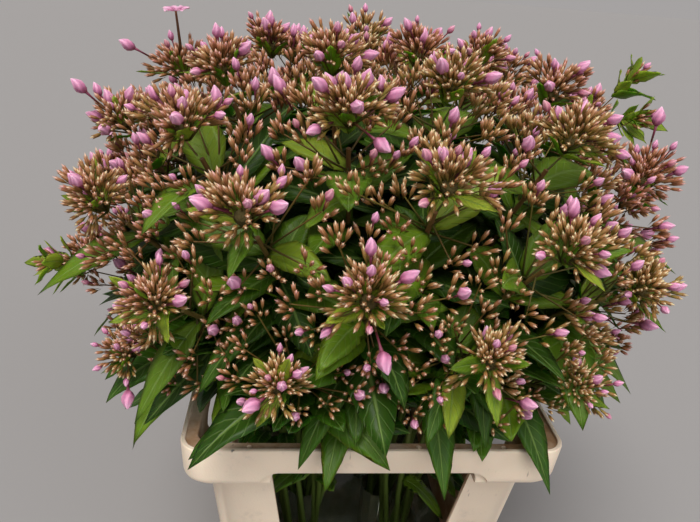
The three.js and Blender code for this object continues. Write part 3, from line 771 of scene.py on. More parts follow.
# %% [markdown]
# ## Leaf green
# A phlox leaf is mid-green above, with a pale sunken midrib and curved side veins. The blade's
# quilting between the veins is too fine to model, so it is bump. The pattern follows each blade
# through two attributes that the blade carries: how far along it lies and how far across. Some
# light comes through a thin leaf, which a little subsurface scattering stands for.

# %% Leaf material
VEIN_PAIRS = 9.0
VEIN_SLANT = 0.22
SIDE_VEIN_DEPTH = 0.4
MIDRIB_HALF = (0.035, 0.10)
VEIN_GREEN = (0.17, 0.27, 0.06)
VEIN_SHARE = 0.55
LEAF_TONES = [
    (0.0, (0.012, 0.036, 0.003)),
    (0.45, (0.034, 0.086, 0.004)),
    (0.8, (0.120, 0.205, 0.010)),
    (1.0, (0.250, 0.320, 0.026)),
]


def leaf_material():
    material, tree, shader = start_material("leaf_green", 0.45, 0.22)
    along = attribute(tree, "along")
    across = calculate(tree, "ABSOLUTE", attribute(tree, "across"))
    slanted = calculate(tree, "SUBTRACT", along, calculate(tree, "MULTIPLY", across, VEIN_SLANT))
    wave = calculate(tree, "COSINE", calculate(tree, "MULTIPLY", slanted, VEIN_PAIRS * 2 * math.pi))
    side_vein = calculate(tree, "MULTIPLY", range_of(tree, wave, 0.8, 1.0), SIDE_VEIN_DEPTH)
    midrib = range_of(tree, across, *MIDRIB_HALF, 1.0, 0.0)
    veins = calculate(tree, "MAXIMUM", side_vein, midrib)
    blade = colour_ramp(tree, attribute(tree, "tone"), LEAF_TONES)
    mottled = mix_colours(tree, noise(tree, 55.0), (0.62, 0.66, 0.6), (1.25, 1.2, 1.1))
    blade = mix_colours(tree, 1.0, blade, mottled, "MULTIPLY")
    colour = mix_colours(tree, calculate(tree, "MULTIPLY", veins, VEIN_SHARE), blade, VEIN_GREEN)
    paint(tree, shader, colour)
    scatter(shader, 0.18, 0.004)
    shader.inputs["Subsurface Radius"].default_value = (0.3, 1.0, 0.1)
    grain = calculate(tree, "MULTIPLY", noise(tree, 900.0, 2.0), 0.12)
    bump(tree, shader, calculate(tree, "SUBTRACT", grain, veins), 0.0006, 0.9)
    return material


LEAF_GREEN = leaf_material()
print("made", LEAF_GREEN.name)


# %% [markdown]
# ## Stem green
# The stems are pale green at the cut foot and turn red-brown near the heads, with fine lengthwise
# ribs. Two materials would need a seam between them, so one ramp over the height does it.

# %% Stem material
GREEN_TO_RED_HEIGHT = (0.1, 0.6)
STEM_COLOURS = [
    (0.0, (0.110, 0.190, 0.035)),
    (0.6, (0.090, 0.120, 0.020)),
    (1.0, (0.140, 0.065, 0.022)),
]


def stem_material():
    material, tree, shader = start_material("stem_green", 0.5, 0.3)
    place = object_place(tree)
    height = add_node(tree, "ShaderNodeSeparateXYZ", vector=place).outputs["Z"]
    rise = range_of(tree, height, *GREEN_TO_RED_HEIGHT)
    patchy = calculate(tree, "ADD", rise, calculate(tree, "MULTIPLY", noise(tree, 40.0), 0.25))
    paint(tree, shader, colour_ramp(tree, patchy, STEM_COLOURS))
    squeezed = add_node(tree, "ShaderNodeMapping", vector=place, scale=(1.0, 1.0, 0.08)).outputs[0]
    bump(tree, shader, noise(tree, 1400.0, 2.0, place=squeezed), 0.0004, 0.6)
    return material


STEM_GREEN = stem_material()
print("made", STEM_GREEN.name)


# %% [markdown]
# ## Calyx and bud tip
# A calyx is a narrow tube, olive below and red-brown towards its five needle-like points. The
# furled tip of the bud shows between them, cream on the youngest and pale pink on the next. Heads
# differ in colour, so each copy carries a tone that mixes an olive ramp with a brown one.

# %% Calyx and tip materials
CALYX_GREENS = [
    (0.0, (0.050, 0.068, 0.008)),
    (0.45, (0.160, 0.145, 0.018)),
    (0.8, (0.290, 0.165, 0.042)),
    (1.0, (0.450, 0.250, 0.110)),
]
CALYX_BROWNS = [
    (0.0, (0.056, 0.028, 0.009)),
    (0.45, (0.180, 0.062, 0.022)),
    (0.8, (0.330, 0.110, 0.062)),
    (1.0, (0.500, 0.230, 0.145)),
]
TIP_CREAMS = ((0.34, 0.22, 0.10), (0.72, 0.58, 0.34))
TIP_PINKS = ((0.34, 0.14, 0.12), (0.66, 0.36, 0.33))
PINK_TONES = (0.35, 0.75)


def calyx_material():
    material, tree, shader = start_material("calyx_olive", 0.55, 0.3)
    along = attribute(tree, "along")
    green = colour_ramp(tree, along, CALYX_GREENS)
    brown = colour_ramp(tree, along, CALYX_BROWNS)
    paint(tree, shader, mix_colours(tree, attribute(tree, "tone"), green, brown))
    scatter(shader, 0.1, 0.002)
    bump(tree, shader, noise(tree, 1800.0, 2.0), 0.0003, 0.5)
    return material


def tip_material():
    material, tree, shader = start_material("bud_tip_cream", 0.45, 0.35)
    along = attribute(tree, "along")
    cream = mix_colours(tree, along, *TIP_CREAMS)
    pink = mix_colours(tree, along, *TIP_PINKS)
    pinkness = range_of(tree, attribute(tree, "tone"), *PINK_TONES)
    paint(tree, shader, mix_colours(tree, pinkness, cream, pink))
    scatter(shader, 0.15, 0.002)
    return material


CALYX_OLIVE = calyx_material()
TIP_CREAM = tip_material()
print("made", CALYX_OLIVE.name, "and", TIP_CREAM.name)


# %% [markdown]
# ## Petal lilac
# A furled bud is lilac-pink, paler along the petals' edges, which wind round it as a spiral, and
# deeper towards its red tube. The youngest buds are still salmon. The spiral could be painted by
# an angle, but the ridges of the mesh mark it already, so each point carries its ridge as a
# number. The ridges are lighter for the pale edges, and the furrows between them are darker as
# painted shade. Petals are thin and soft, so light scatters inside them.

# %% Petal and tube materials
LILACS = [
    (0.0, (0.280, 0.070, 0.130)),
    (0.3, (0.590, 0.230, 0.390)),
    (0.75, (0.760, 0.390, 0.570)),
    (1.0, (0.860, 0.540, 0.690)),
]
SALMONS = [
    (0.0, (0.260, 0.060, 0.070)),
    (0.4, (0.500, 0.180, 0.200)),
    (1.0, (0.700, 0.380, 0.380)),
]
TUBE_REDS = [
    (0.0, (0.075, 0.012, 0.018)),
    (0.6, (0.160, 0.022, 0.048)),
    (1.0, (0.270, 0.060, 0.120)),
]
SALMON_TONES = (0.55, 0.95)
FURROW_SHADE_AND_PALE_EDGE = ((0.70, 0.60, 0.68), (1.1, 1.1, 1.08))
PETAL_MOTTLE = ((0.88, 0.84, 0.88), (1.08, 1.08, 1.06))


def petal_material():
    material, tree, shader = start_material("petal_lilac", 0.5, 0.3)
    along = attribute(tree, "along")
    lilac = colour_ramp(tree, along, LILACS)
    salmon = colour_ramp(tree, along, SALMONS)
    youth = range_of(tree, attribute(tree, "tone"), *SALMON_TONES)
    colour = mix_colours(tree, youth, lilac, salmon)
    # Furrows between the petal edges darkened as painted shade; ridges lighter for the pale edges
    shaded = mix_colours(tree, attribute(tree, "ridge"), *FURROW_SHADE_AND_PALE_EDGE)
    colour = mix_colours(tree, 1.0, colour, shaded, "MULTIPLY")
    mottled = mix_colours(tree, noise(tree, 420.0, 2.0), *PETAL_MOTTLE)
    colour = mix_colours(tree, 1.0, colour, mottled, "MULTIPLY")
    paint(tree, shader, colour)
    scatter(shader, 0.3, 0.003)
    shader.inputs["Subsurface Radius"].default_value = (1.0, 0.4, 0.6)
    return material


def tube_material():
    material, tree, shader = start_material("tube_red", 0.45, 0.4)
    paint(tree, shader, colour_ramp(tree, attribute(tree, "along"), TUBE_REDS))
    bump(tree, shader, noise(tree, 900.0, 2.0), 0.0003, 0.4)
    return material


PETAL_LILAC = petal_material()
TUBE_RED = tube_material()
print("made", PETAL_LILAC.name, "and", TUBE_RED.name)


# %% [markdown]
# ## Head core
# Behind the calyces of a head lies a thicket of their stalks, too dense to see through. To draw
# every stalk would take many faces that nobody sees. A small lumpy core stands for them, so that
# no light shines through from behind. Its colour is the stalks' olive, darkened as painted shade
# of the thicket's depth.

# %% Core material
# Stalk olive and brown, darkened as painted shade of the thicket's depth
CORE_STALKS_IN_SHADE = ((0.030, 0.036, 0.010), (0.135, 0.092, 0.038))


def core_material():
    material, tree, shader = start_material("head_core_shaded_stalks", 0.9, 0.1)
    paint(tree, shader, mix_colours(tree, noise(tree, 260.0), *CORE_STALKS_IN_SHADE))
    bump(tree, shader, noise(tree, 500.0), 0.002, 1.0)
    return material


CORE_SHADED_STALKS = core_material()
print("made", CORE_SHADED_STALKS.name)

# %% [markdown]
# ## Shapes that repeat
# Each repeated shape is drawn once, one unit long, with the attributes that its material reads.
# A few dozen faces are enough for it, because there are thousands of copies.

# %% Rings joined to a closed skin
def turned_shape(rings, sides):
    """Points and faces of a skin over rings (height, radii, twist), closed by end points."""
    points = [(0.0, 0.0, rings[0][0])]
    for height, radii, twist in rings[1:-1]:
        for side in range(sides):
            angle = side / sides * 2 * math.pi + twist
            radius = radii[side % len(radii)]
            points.append((radius * math.cos(angle), radius * math.sin(angle), height))
    points.append((0.0, 0.0, rings[-1][0]))
    faces = []
    count = len(rings) - 2
    for side in range(sides):
        after = (side + 1) % sides
        faces.append((0, 1 + after, 1 + side))
        for ring in range(count - 1):
            low = 1 + ring * sides
            high = low + sides
            faces.append((low + side, low + after, high + after, high + side))
        last = 1 + (count - 1) * sides
        faces.append((last + side, last + after, len(points) - 1))
    return points, faces


def with_skin(points, faces, more_points, more_faces):
    """Two skins in one list of points and one of faces."""
    shift = len(points)
    shifted = [tuple(index + shift for index in face) for face in more_faces]
    return points + more_points, faces + shifted


# %% Make a shape that carries its attributes
def make_shape(name, points, faces, finish, **attributes):
    mesh = bpy.data.meshes.new(name)
    mesh.from_pydata([tuple(map(float, point)) for point in points], [], faces)
    for key, values in attributes.items():
        made = mesh.attributes.new(key, "FLOAT", "POINT")
        made.data.foreach_set("value", np.array(values, dtype=np.float32))
    made = mesh.attributes.new("finish", "FLOAT", "FACE")
    made.data.foreach_set("value", np.array(finish, dtype=np.float32))
    mesh.shade_smooth()
    mesh.update()
    print(name, len(mesh.polygons), "faces")
    return add_object(name, mesh)


# %% Numbers of the finishes
FINISH_CALYX, FINISH_TIP, FINISH_PETAL, FINISH_TUBE, FINISH_LEAF = range(5)
FINISHES = (CALYX_OLIVE, TIP_CREAM, PETAL_LILAC, TUBE_RED, LEAF_GREEN)

# %% Calyx with five points, on its thin stalk
STALK_END = 0.36
CALYX_BELLY = 0.56
CALYX_VALLEY = 0.74
CALYX_POINT = 0.95
CALYX_FLOOR = CALYX_VALLEY - 0.04
CALYX_SIDES = 5
CALYX_LAYERS = [
    (STALK_END, 0.12, 0), (CALYX_BELLY, 0.5, 0), (CALYX_VALLEY, 0.40, math.pi / CALYX_SIDES),
    (CALYX_POINT, 0.52, 0),
]
TIP_RINGS = [(0.66,), (0.84, (0.36,), 0.3), (1.06,)]
TIP_SIDES = 4


def calyx_skin():
    """A thin stalk that widens to a five-sided tube with five points."""
    ring = [side / CALYX_SIDES * 2 * math.pi for side in range(CALYX_SIDES)]
    points = []
    for height, radius, turn in CALYX_LAYERS:
        points += [(radius * math.cos(a + turn), radius * math.sin(a + turn), height) for a in ring]
    stalk, belly, valley, point = (layer * CALYX_SIDES for layer in range(4))
    foot = len(points)
    middle = foot + 1
    points += [(0, 0, 0), (0, 0, CALYX_FLOOR)]
    faces = []
    for side in range(CALYX_SIDES):
        after = (side + 1) % CALYX_SIDES
        before = (side - 1) % CALYX_SIDES
        faces.append((foot, stalk + after, stalk + side))
        faces.append((stalk + side, stalk + after, belly + after, belly + side))
        faces.append((belly + side, belly + after, valley + side))
        faces.append((belly + side, valley + side, point + side))
        faces.append((valley + before, belly + side, point + side))
        faces.append((valley + side, middle, point + side))
        faces.append((middle, valley + before, point + side))
    return points, faces


def calyx_with_tip():
    calyx_points, calyx_faces = calyx_skin()
    tip_points, tip_faces = turned_shape(TIP_RINGS, TIP_SIDES)
    points, faces = with_skin(calyx_points, calyx_faces, tip_points, tip_faces)
    finish = [FINISH_CALYX] * len(calyx_faces) + [FINISH_TIP] * len(tip_faces)
    return make_shape("calyx", points, faces, finish, along=[point[2] for point in points])


CALYX_SHAPE = calyx_with_tip()

# %% Furled bud on its tube
BUD_SIDES = 10
BUD_TWIST = 1.6
BUD_RIDGE = 0.86
BUD_START = 0.46
BUD_OUTLINE = [(0.00, 0.32), (0.13, 0.70), (0.34, 0.98), (0.56, 0.92), (0.78, 0.56), (0.93, 0.22)]
BUD_OVERLAP = 0.02
TUBE_OUTLINE = [(0.0, 0.16), (0.30, 0.18), (0.47, 0.28)]
TUBE_LENGTH = 0.5
TUBE_END = 0.52
TUBE_SIDES = 5


def furled_bud():
    """A twisted bud whose ridges stand between furrows, and the tube that it ends."""
    room = 1 - BUD_START
    rings = [(BUD_START - BUD_OVERLAP,)]
    for share, radius in BUD_OUTLINE:
        ring = (BUD_START + share * room, (radius / 2, radius / 2 * BUD_RIDGE), share * BUD_TWIST)
        rings.append(ring)
    rings.append((1.0,))
    bud_points, bud_faces = turned_shape(rings, BUD_SIDES)
    rings = [(0.0,)] + [(height, (radius / 2,), 0.0) for height, radius in TUBE_OUTLINE]
    tube_points, tube_faces = turned_shape(rings + [(TUBE_END,)], TUBE_SIDES)
    points, faces = with_skin(bud_points, bud_faces, tube_points, tube_faces)
    finish = [FINISH_PETAL] * len(bud_faces) + [FINISH_TUBE] * len(tube_faces)
    along = [(point[2] - BUD_START) / room for point in bud_points]
    along += [point[2] / TUBE_LENGTH for point in tube_points]
    ridge = [0.5] + [1.0, 0.0] * (BUD_SIDES // 2 * len(BUD_OUTLINE)) + [1.0]
    ridge += [0.0] * len(tube_points)
    return make_shape("furled_bud", points, faces, finish, along=along, ridge=ridge)


BUD_SHAPE = furled_bud()

# %% Twig that carries a spray of calyces
TWIG_SIDES = 4
TWIG_RINGS = [(0.0,), (0.02, (0.5,), 0.0), (0.98, (0.32,), 0.0), (1.0,)]
TWIG_BROWNING = 0.3


def twig_shape():
    """A thin rod that tapers, coloured like the lowest part of a calyx."""
    points, faces = turned_shape(TWIG_RINGS, TWIG_SIDES)
    along = [TWIG_BROWNING * point[2] for point in points]
    return make_shape("twig", points, faces, [FINISH_CALYX] * len(faces), along=along)


TWIG_SHAPE = twig_shape()

# %% Leaf blade
BLADE_FOLD = 0.09
BLADE_BODY = 0.022
BLADE_TEETH = 0.03
BLADE_LIFT = 0.035
BLADE_DETAIL = {"blade": (14, 4), "small_blade": (8, 4), "plain_blade": (6, 2)}


def blade_half(share):
    return math.sin(math.pi * share ** BLADE_SKEW) ** BLADE_FULLNESS / 2


def blade_shape(name):
    """A closed blade along Z, as wide as one unit along Y, with its upper side towards -X."""
    stations, strips = BLADE_DETAIL[name]
    points = []
    along = []
    across = []
    upper = {}
    lower = {}

    def add_point(depth, side, half, share):
        points.append((depth, side * half, share))
        along.append(share)
        across.append(side)
        return len(points) - 1

    start = add_point(0.0, 0.0, 0.0, 0.0)
    for station in range(1, stations):
        share = station / stations
        teeth = 1 + BLADE_TEETH * (1 if station % 2 else -1) * min(1, 4 * (1 - share))
        half = blade_half(share) * teeth
        for strip in range(strips + 1):
            side = 2 * strip / strips - 1
            depth = BLADE_FOLD * (abs(side) - 0.5) * 2 * half
            lift = BLADE_LIFT * math.sin(math.pi * abs(side)) * half
            top = add_point(-depth - lift, side, half, share)
            upper[station, strip] = top
            lower[station, strip] = top
            if 0 < strip < strips:
                body = BLADE_BODY * (2 if strip * 2 == strips else 1)
                lower[station, strip] = add_point(body - depth - lift, side, half, share)
    end = add_point(0.0, 0.0, 0.0, 1.0)
    last = stations - 1
    faces = []
    for left in range(strips):
        right = left + 1
        faces.append((start, upper[1, left], upper[1, right]))
        faces.append((start, lower[1, right], lower[1, left]))
        for here in range(1, last):
            ahead = here + 1
            faces.append((upper[here, left], upper[ahead, left], upper[ahead, right], upper[here, right]))
            faces.append((lower[here, right], lower[ahead, right], lower[ahead, left], lower[here, left]))
        faces.append((end, upper[last, right], upper[last, left]))
        faces.append((end, lower[last, left], lower[last, right]))
    return make_shape(name, points, faces, [FINISH_LEAF] * len(faces), along=along, across=across)


BLADE_SHAPE, SMALL_BLADE_SHAPE, PLAIN_BLADE_SHAPE = map(blade_shape, BLADE_DETAIL)

# %% Petal of the open flower
PETAL_ROWS = 7
PETAL_STRIPS = 4
PETAL_BODY = 0.03
PETAL_FOOT = 0.06
PETAL_SKEW = 1.35
PETAL_FULLNESS = 0.7
PETAL_RIDGE = 0.7


def petal_half(share):
    skewed = min(share, 0.999) ** PETAL_SKEW
    return PETAL_FOOT + (0.5 - PETAL_FOOT) * math.sin(math.pi * skewed) ** PETAL_FULLNESS


def petal_points(lift):
    """Rows of points across the petal, which curls at its sides and bends back at its end."""
    points = []
    for row in range(1, PETAL_ROWS + 1):
        share = row / PETAL_ROWS * 0.97
        for strip in range(PETAL_STRIPS + 1):
            side = 2 * strip / PETAL_STRIPS - 1
            curl = 0.12 * side * side - 0.18 * share * share + 0.10 * share
            height = share + 0.03 * (1 - side * side)
            points.append((curl + lift, side * petal_half(share), height))
    return points


def petal_shape():
    """A closed petal along Z, with its upper side towards +X."""
    upper = petal_points(PETAL_BODY)
    lower = petal_points(0.0)
    count = len(upper)
    across = PETAL_STRIPS + 1
    faces = []
    for row in range(PETAL_ROWS - 1):
        for strip in range(PETAL_STRIPS):
            low = row * across + strip
            high = low + across
            faces.append((low, low + 1, high + 1, high))
            faces.append((count + low, count + high, count + high + 1, count + low + 1))
    rim = list(range(across))
    rim += [row * across + PETAL_STRIPS for row in range(1, PETAL_ROWS)]
    rim += [(PETAL_ROWS - 1) * across + strip for strip in range(PETAL_STRIPS - 1, -1, -1)]
    rim += [row * across for row in range(PETAL_ROWS - 2, 0, -1)]
    for start, end in zip(rim, rim[1:] + rim[:1]):
        faces.append((start, count + start, count + end, end))
    points = upper + lower
    along = [point[2] for point in points]
    ridge = [PETAL_RIDGE] * len(points)
    return make_shape("petal", points, faces, [FINISH_PETAL] * len(faces), along=along, ridge=ridge)


PETAL_SHAPE = petal_shape()

# %% Numbers that shapes go by
SHAPES = (
    CALYX_SHAPE, BUD_SHAPE, TWIG_SHAPE, PETAL_SHAPE, BLADE_SHAPE, SMALL_BLADE_SHAPE, PLAIN_BLADE_SHAPE,
)
SHAPE_CALYX, SHAPE_BUD, SHAPE_TWIG, SHAPE_PETAL = range(4)
SHAPE_BLADE, SHAPE_SMALL_BLADE, SHAPE_PLAIN_BLADE = range(4, 7)
print(len(SHAPES), "shapes to copy")

# %% [markdown]
# ## One tree for all copies
# Thousands of calyces, buds and leaves could be drawn point by point in Python, but that is slow.
# A Geometry Nodes tree turns a cloud of points into finished copies instead. Each point says where
# a copy stands, which way it faces, how large it is and which shape it takes. The tree makes the
# copies real, bends the blades, and gives each face the finish whose number it carries.

# %% What each point of a cloud carries
CLOUD_VECTORS = ("facing", "side", "size")
CLOUD_NUMBERS = ("shape", "tone", "droop", "wave", "phase")
WHOLE_NUMBER_SLACK = 0.1


def named(tree, name, kind="FLOAT"):
    node = add_node(tree, "GeometryNodeInputNamedAttribute", {"data_type": kind})
    node.inputs["Name"].default_value = name
    return node.outputs["Attribute"]


def equals(tree, value, number):
    """Whether a whole number that is stored as a float is this one."""
    node = add_node(tree, "FunctionNodeCompare", {"data_type": "FLOAT", "operation": "EQUAL"})
    tree.links.new(value, node.inputs[0])
    node.inputs[1].default_value = number
    node.inputs["Epsilon"].default_value = WHOLE_NUMBER_SLACK
    return node.outputs[0]


def new_tree(name, sockets):
    tree = bpy.data.node_groups.new(name, "GeometryNodeTree")
    tree.interface.new_socket("Geometry", in_out="INPUT", socket_type="NodeSocketGeometry")
    for label, kind, default in sockets:
        socket = tree.interface.new_socket(label, in_out="INPUT", socket_type=kind)
        if default is not None:
            socket.default_value = default
    tree.interface.new_socket("Geometry", in_out="OUTPUT", socket_type="NodeSocketGeometry")
    return tree, tree.nodes.new("NodeGroupInput"), tree.nodes.new("NodeGroupOutput")


# %% The tree that places, bends and colours the copies
def copies_tree():
    """Each shape goes to the points that carry its number. The blades bend once they are real."""
    sockets = [(shape.name, "NodeSocketObject", None) for shape in SHAPES]
    sockets += [("Tone Spread", "NodeSocketFloat", 0.3), ("Seed", "NodeSocketInt", 1)]
    sockets += [("Waves Along Blade", "NodeSocketFloat", LEAF_WAVES)]
    tree, given, result = new_tree("copies_on_points", sockets)
    facing = named(tree, "facing", "FLOAT_VECTOR")
    side = named(tree, "side", "FLOAT_VECTOR")
    rotation = add_node(
        tree, "FunctionNodeAxesToRotation", {"primary_axis": "Z", "secondary_axis": "Y"},
        primary_axis=facing, secondary_axis=side,
    ).outputs[0]
    joined = tree.nodes.new("GeometryNodeJoinGeometry")
    for number, shape in enumerate(SHAPES):
        info = add_node(tree, "GeometryNodeObjectInfo", object=given.outputs[shape.name])
        placed = add_node(
            tree, "GeometryNodeInstanceOnPoints",
            points=given.outputs["Geometry"],
            selection=equals(tree, named(tree, "shape"), number),
            instance=info.outputs["Geometry"],
            rotation=rotation,
            scale=named(tree, "size", "FLOAT_VECTOR"),
        )
        tree.links.new(placed.outputs[0], joined.inputs[0])
    chance = add_node(tree, "FunctionNodeRandomValue", {"data_type": "FLOAT"}, seed=given.outputs["Seed"])
    spread = calculate(tree, "MULTIPLY", chance.outputs[1], given.outputs["Tone Spread"])
    tone = calculate(tree, "ADD", named(tree, "tone"), spread)
    toned = add_node(
        tree, "GeometryNodeStoreNamedAttribute", {"data_type": "FLOAT", "domain": "INSTANCE"},
        geometry=joined.outputs[0], name="tone", value=tone,
    )
    real = add_node(tree, "GeometryNodeRealizeInstances", geometry=toned.outputs[0])
    along = named(tree, "along")
    sag = calculate(tree, "MULTIPLY", calculate(tree, "MULTIPLY", along, along), named(tree, "droop"))
    down = combine(tree, "SCALE", (0.0, 0.0, -1.0), sag)
    waves = given.outputs["Waves Along Blade"]
    angle = calculate(tree, "MULTIPLY_ADD", along, waves, named(tree, "phase"))
    height = calculate(tree, "MULTIPLY", calculate(tree, "SINE", angle), named(tree, "wave"))
    height = calculate(tree, "MULTIPLY", height, named(tree, "across"))
    normal = combine(tree, "CROSS_PRODUCT", facing, side)
    ripple = combine(tree, "SCALE", normal, calculate(tree, "MULTIPLY", height, -1.0))
    offset = combine(tree, "ADD", down, ripple)
    made = add_node(tree, "GeometryNodeSetPosition", geometry=real.outputs[0], offset=offset).outputs[0]
    for number, finish in enumerate(FINISHES):
        made = add_node(
            tree, "GeometryNodeSetMaterial",
            geometry=made, selection=equals(tree, named(tree, "finish"), number), material=finish,
        ).outputs[0]
    tree.links.new(made, result.inputs[0])
    return tree


COPIES_TREE = copies_tree()
print("tree", COPIES_TREE.name, "has", len(COPIES_TREE.nodes), "nodes")


# %% Turn a cloud of points into a plain mesh
def cloud_object(name, cloud):
    mesh = bpy.data.meshes.new(name)
    mesh.from_pydata([tuple(entry["place"]) for entry in cloud], [], [])
    for key in CLOUD_VECTORS:
        values = np.array([entry[key] for entry in cloud], dtype=np.float32)
        mesh.attributes.new(key, "FLOAT_VECTOR", "POINT").data.foreach_set("vector", values.ravel())
    for key in CLOUD_NUMBERS:
        values = np.array([entry.get(key, 0.0) for entry in cloud], dtype=np.float32)
        mesh.attributes.new(key, "FLOAT", "POINT").data.foreach_set("value", values)
    mesh.update()
    return add_object(name, mesh)


def run_tree(name, carrier, tree, values):
    """Run the tree once on the carrier and keep the result as a plain mesh."""
    modifier = carrier.modifiers.new("grow", "NODES")
    modifier.node_group = tree
    for item in tree.interface.items_tree:
        if item.item_type == "SOCKET" and item.in_out == "INPUT" and item.name in values:
            modifier[item.identifier] = values[item.name]
    evaluated = carrier.evaluated_get(bpy.context.evaluated_depsgraph_get())
    mesh = bpy.data.meshes.new_from_object(evaluated)
    mesh.name = name
    carrier.modifiers.clear()
    bpy.data.objects.remove(carrier)
    return mesh


def grow_copies(name, cloud, seed, tone_spread):
    """Run the copies tree on a cloud, and drop the numbers that only the tree needs."""
    values = {shape.name: shape for shape in SHAPES}
    values.update({"Tone Spread": tone_spread, "Seed": seed, "Waves Along Blade": LEAF_WAVES})
    mesh = run_tree(name, cloud_object(name, cloud), COPIES_TREE, values)
    for key in (*CLOUD_VECTORS, "shape", "droop", "wave", "phase"):
        if key in mesh.attributes:
            mesh.attributes.remove(mesh.attributes[key])
    return mesh


# %% Join meshes into one piece
def join_piece(name, meshes):
    objects = [add_object(name, mesh) for mesh in meshes]
    with bpy.context.temp_override(active_object=objects[0], selected_editable_objects=objects):
        bpy.ops.object.join()
    objects[0].name = name
    return objects[0]


# %% [markdown]
# ## Flower heads
# A phlox head is a panicle: a dozen or so small sheaves of calyces on short twigs. Calyces spread
# evenly over a ball would look like a pincushion. The calyces of one sheaf point nearly the same
# way, with dark gaps between the sheaves, which gives the head its bristly look. The middle flower
# of a sheaf opens first, so the furled buds stand there.

# %% Entries of a cloud
def across_of(direction, angle):
    """A unit direction square to the given one, turned round it by the angle."""
    turn = turned_from_up(direction)
    return turn @ vector(math.cos(angle), math.sin(angle), 0)


def tilted(direction, angle, amount):
    return unit(direction * math.cos(amount) + across_of(direction, angle) * math.sin(amount))


def cloud_entry(place, facing, length, width, shape, tone, side_angle=0.0):
    return {
        "place": place * MM,
        "facing": facing,
        "side": across_of(facing, side_angle),
        "size": vector(width, width, length) * MM,
        "shape": shape,
        "tone": tone,
    }


# %% A sheaf of calyces, in millimetres
CALYCES_IN_SHEAF = (8, 10)
SHEAF_SPREAD = math.radians(34)
SHEAF_DEPTH = 11.0
SHEAF_WAIST = 6.0
FIRST_CALYX = 0.4
TWIG_WIDTH = 1.7
CALYX_LENGTH = (13.0, 17.5)
CALYX_WIDTH = (2.5, 3.2)
BUD_SHARE = 0.48
LARGE_BUD_SHARE = 0.42
SMALL_BUD = (17.0, 5.8)
LARGE_BUD = (26.0, 9.0)
BUD_RISE = (16.0, 22.0)
BUD_GROWTH = (0.8, 1.15)
BUD_TILT = 0.3
BUD_YOUTH = 0.75
BUD_TURN = 6.0


def sheaf(foot, fork, direction, size, brownness, draw):
    """One twig with its calyces, and now and then a bud in the middle."""
    twig = math.dist(fork, foot)
    cloud = [cloud_entry(foot, unit(fork - foot), twig, TWIG_WIDTH, SHAPE_TWIG, brownness)]
    count = round(between(CALYCES_IN_SHEAF, draw()))
    for index in range(count):
        spread = SHEAF_SPREAD * math.sqrt((index + FIRST_CALYX) / count)
        angle = index * GOLDEN_ANGLE + draw()
        facing = tilted(direction, angle, spread)
        place = fork - direction * SHEAF_DEPTH * draw() * size + (facing - direction) * SHEAF_WAIST * size
        length = between(CALYX_LENGTH, draw()) * size
        width = between(CALYX_WIDTH, draw()) * size
        cloud.append(cloud_entry(place, facing, length, width, SHAPE_CALYX, brownness, angle))
    if draw() < BUD_SHARE:
        large = draw() < LARGE_BUD_SHARE
        grown = between(BUD_GROWTH, draw()) * size
        length, width = (side * grown for side in (LARGE_BUD if large else SMALL_BUD))
        facing = tilted(direction, draw() * math.pi * 2, BUD_TILT * draw())
        youth = 0.0 if large else BUD_YOUTH * draw()
        rise = between(BUD_RISE, draw()) * size
        place = fork + facing * (rise - length)
        cloud.append(cloud_entry(place, facing, length, width, SHAPE_BUD, youth, draw() * BUD_TURN))
    return cloud


# %% [markdown]
# ## Side sprays
# On the plant, weaker side branches fill the gaps between the heads. Points spread evenly over the
# dome give them their places. A point too near to a head's middle or to a large leaf gets none.
# Three sprays with leaves of their own stand out of the outline, as the photograph shows.

# %% Place the side sprays
SPRAY_POINTS = 890
SPRAY_HEAD_ROOM = 28.0
SPRAY_REACH = 70.0
SPRAY_DEPTH = (-4.0, 30.0)
SPRAY_SEED = 77
SPRAY_LEAF_ROOM = 10.0
SPRAY_AWAY = 0.3
SPRAY_LIFT = 0.2
SHEAF_MIDDLE = 7.0
SPRIGS = [(236, 0, 602), (-262, -96, 440), (226, -40, 572)]


def place_sprays():
    """Give each side spray to the nearest head, and list where their middles are."""
    draw = random_stream(SPRAY_SEED)
    middles = []
    for point, outward in dome_surface(SPRAY_POINTS, 0.0):
        head = nearest_head(point)
        distance = math.dist(head["centre"], point)
        depth = between(SPRAY_DEPTH, draw())
        if not SPRAY_HEAD_ROOM * head["size"] < distance < SPRAY_REACH:
            continue
        away = unit(point - head["centre"])
        direction = unit(outward + away * SPRAY_AWAY + UP * SPRAY_LIFT)
        fork = point - outward * depth
        middle = fork + direction * SHEAF_MIDDLE
        if np.linalg.norm(taken["points"] - middle, axis=1).min() > SPRAY_LEAF_ROOM:
            head["sprays"].append({"fork": fork, "direction": direction})
            middles.append(middle)
    return np.array(middles)


def place_sprigs():
    sprigs = []
    for values in SPRIGS:
        place = vector(*values)
        head = nearest_head(place)
        direction = unit(place - head["centre"])
        head["sprays"].append({"fork": place, "direction": direction})
        sprigs.append((head, place, direction))
    return sprigs


spray_middles = place_sprays()
sprigs = place_sprigs()
print(len(spray_middles), "side sprays and", len(sprigs), "leafy sprigs")

# %% Lay out a whole head
SHEAVES = 14
SHEAF_SWEEP = math.radians(120)
SHEAF_JITTER = 0.16
SHEAF_LIFT = 0.65
SHEAF_FORK = (10.0, 24.0)
SHEAF_FOOT = 8.0
SPRAY_FOOT = (4.0, 34.0)
LONG_BUD = (27.0, 10.0)
LONG_BUD_ROOM = 6.0
LONG_TUBE_WIDTH = 2.4
TUBE_OVERLAP = 4.0
TUBE_TONE = 0.9
BROWNEST = 0.8
HEAD_SEED = 9100
HEAD_SEED_STEP = 17


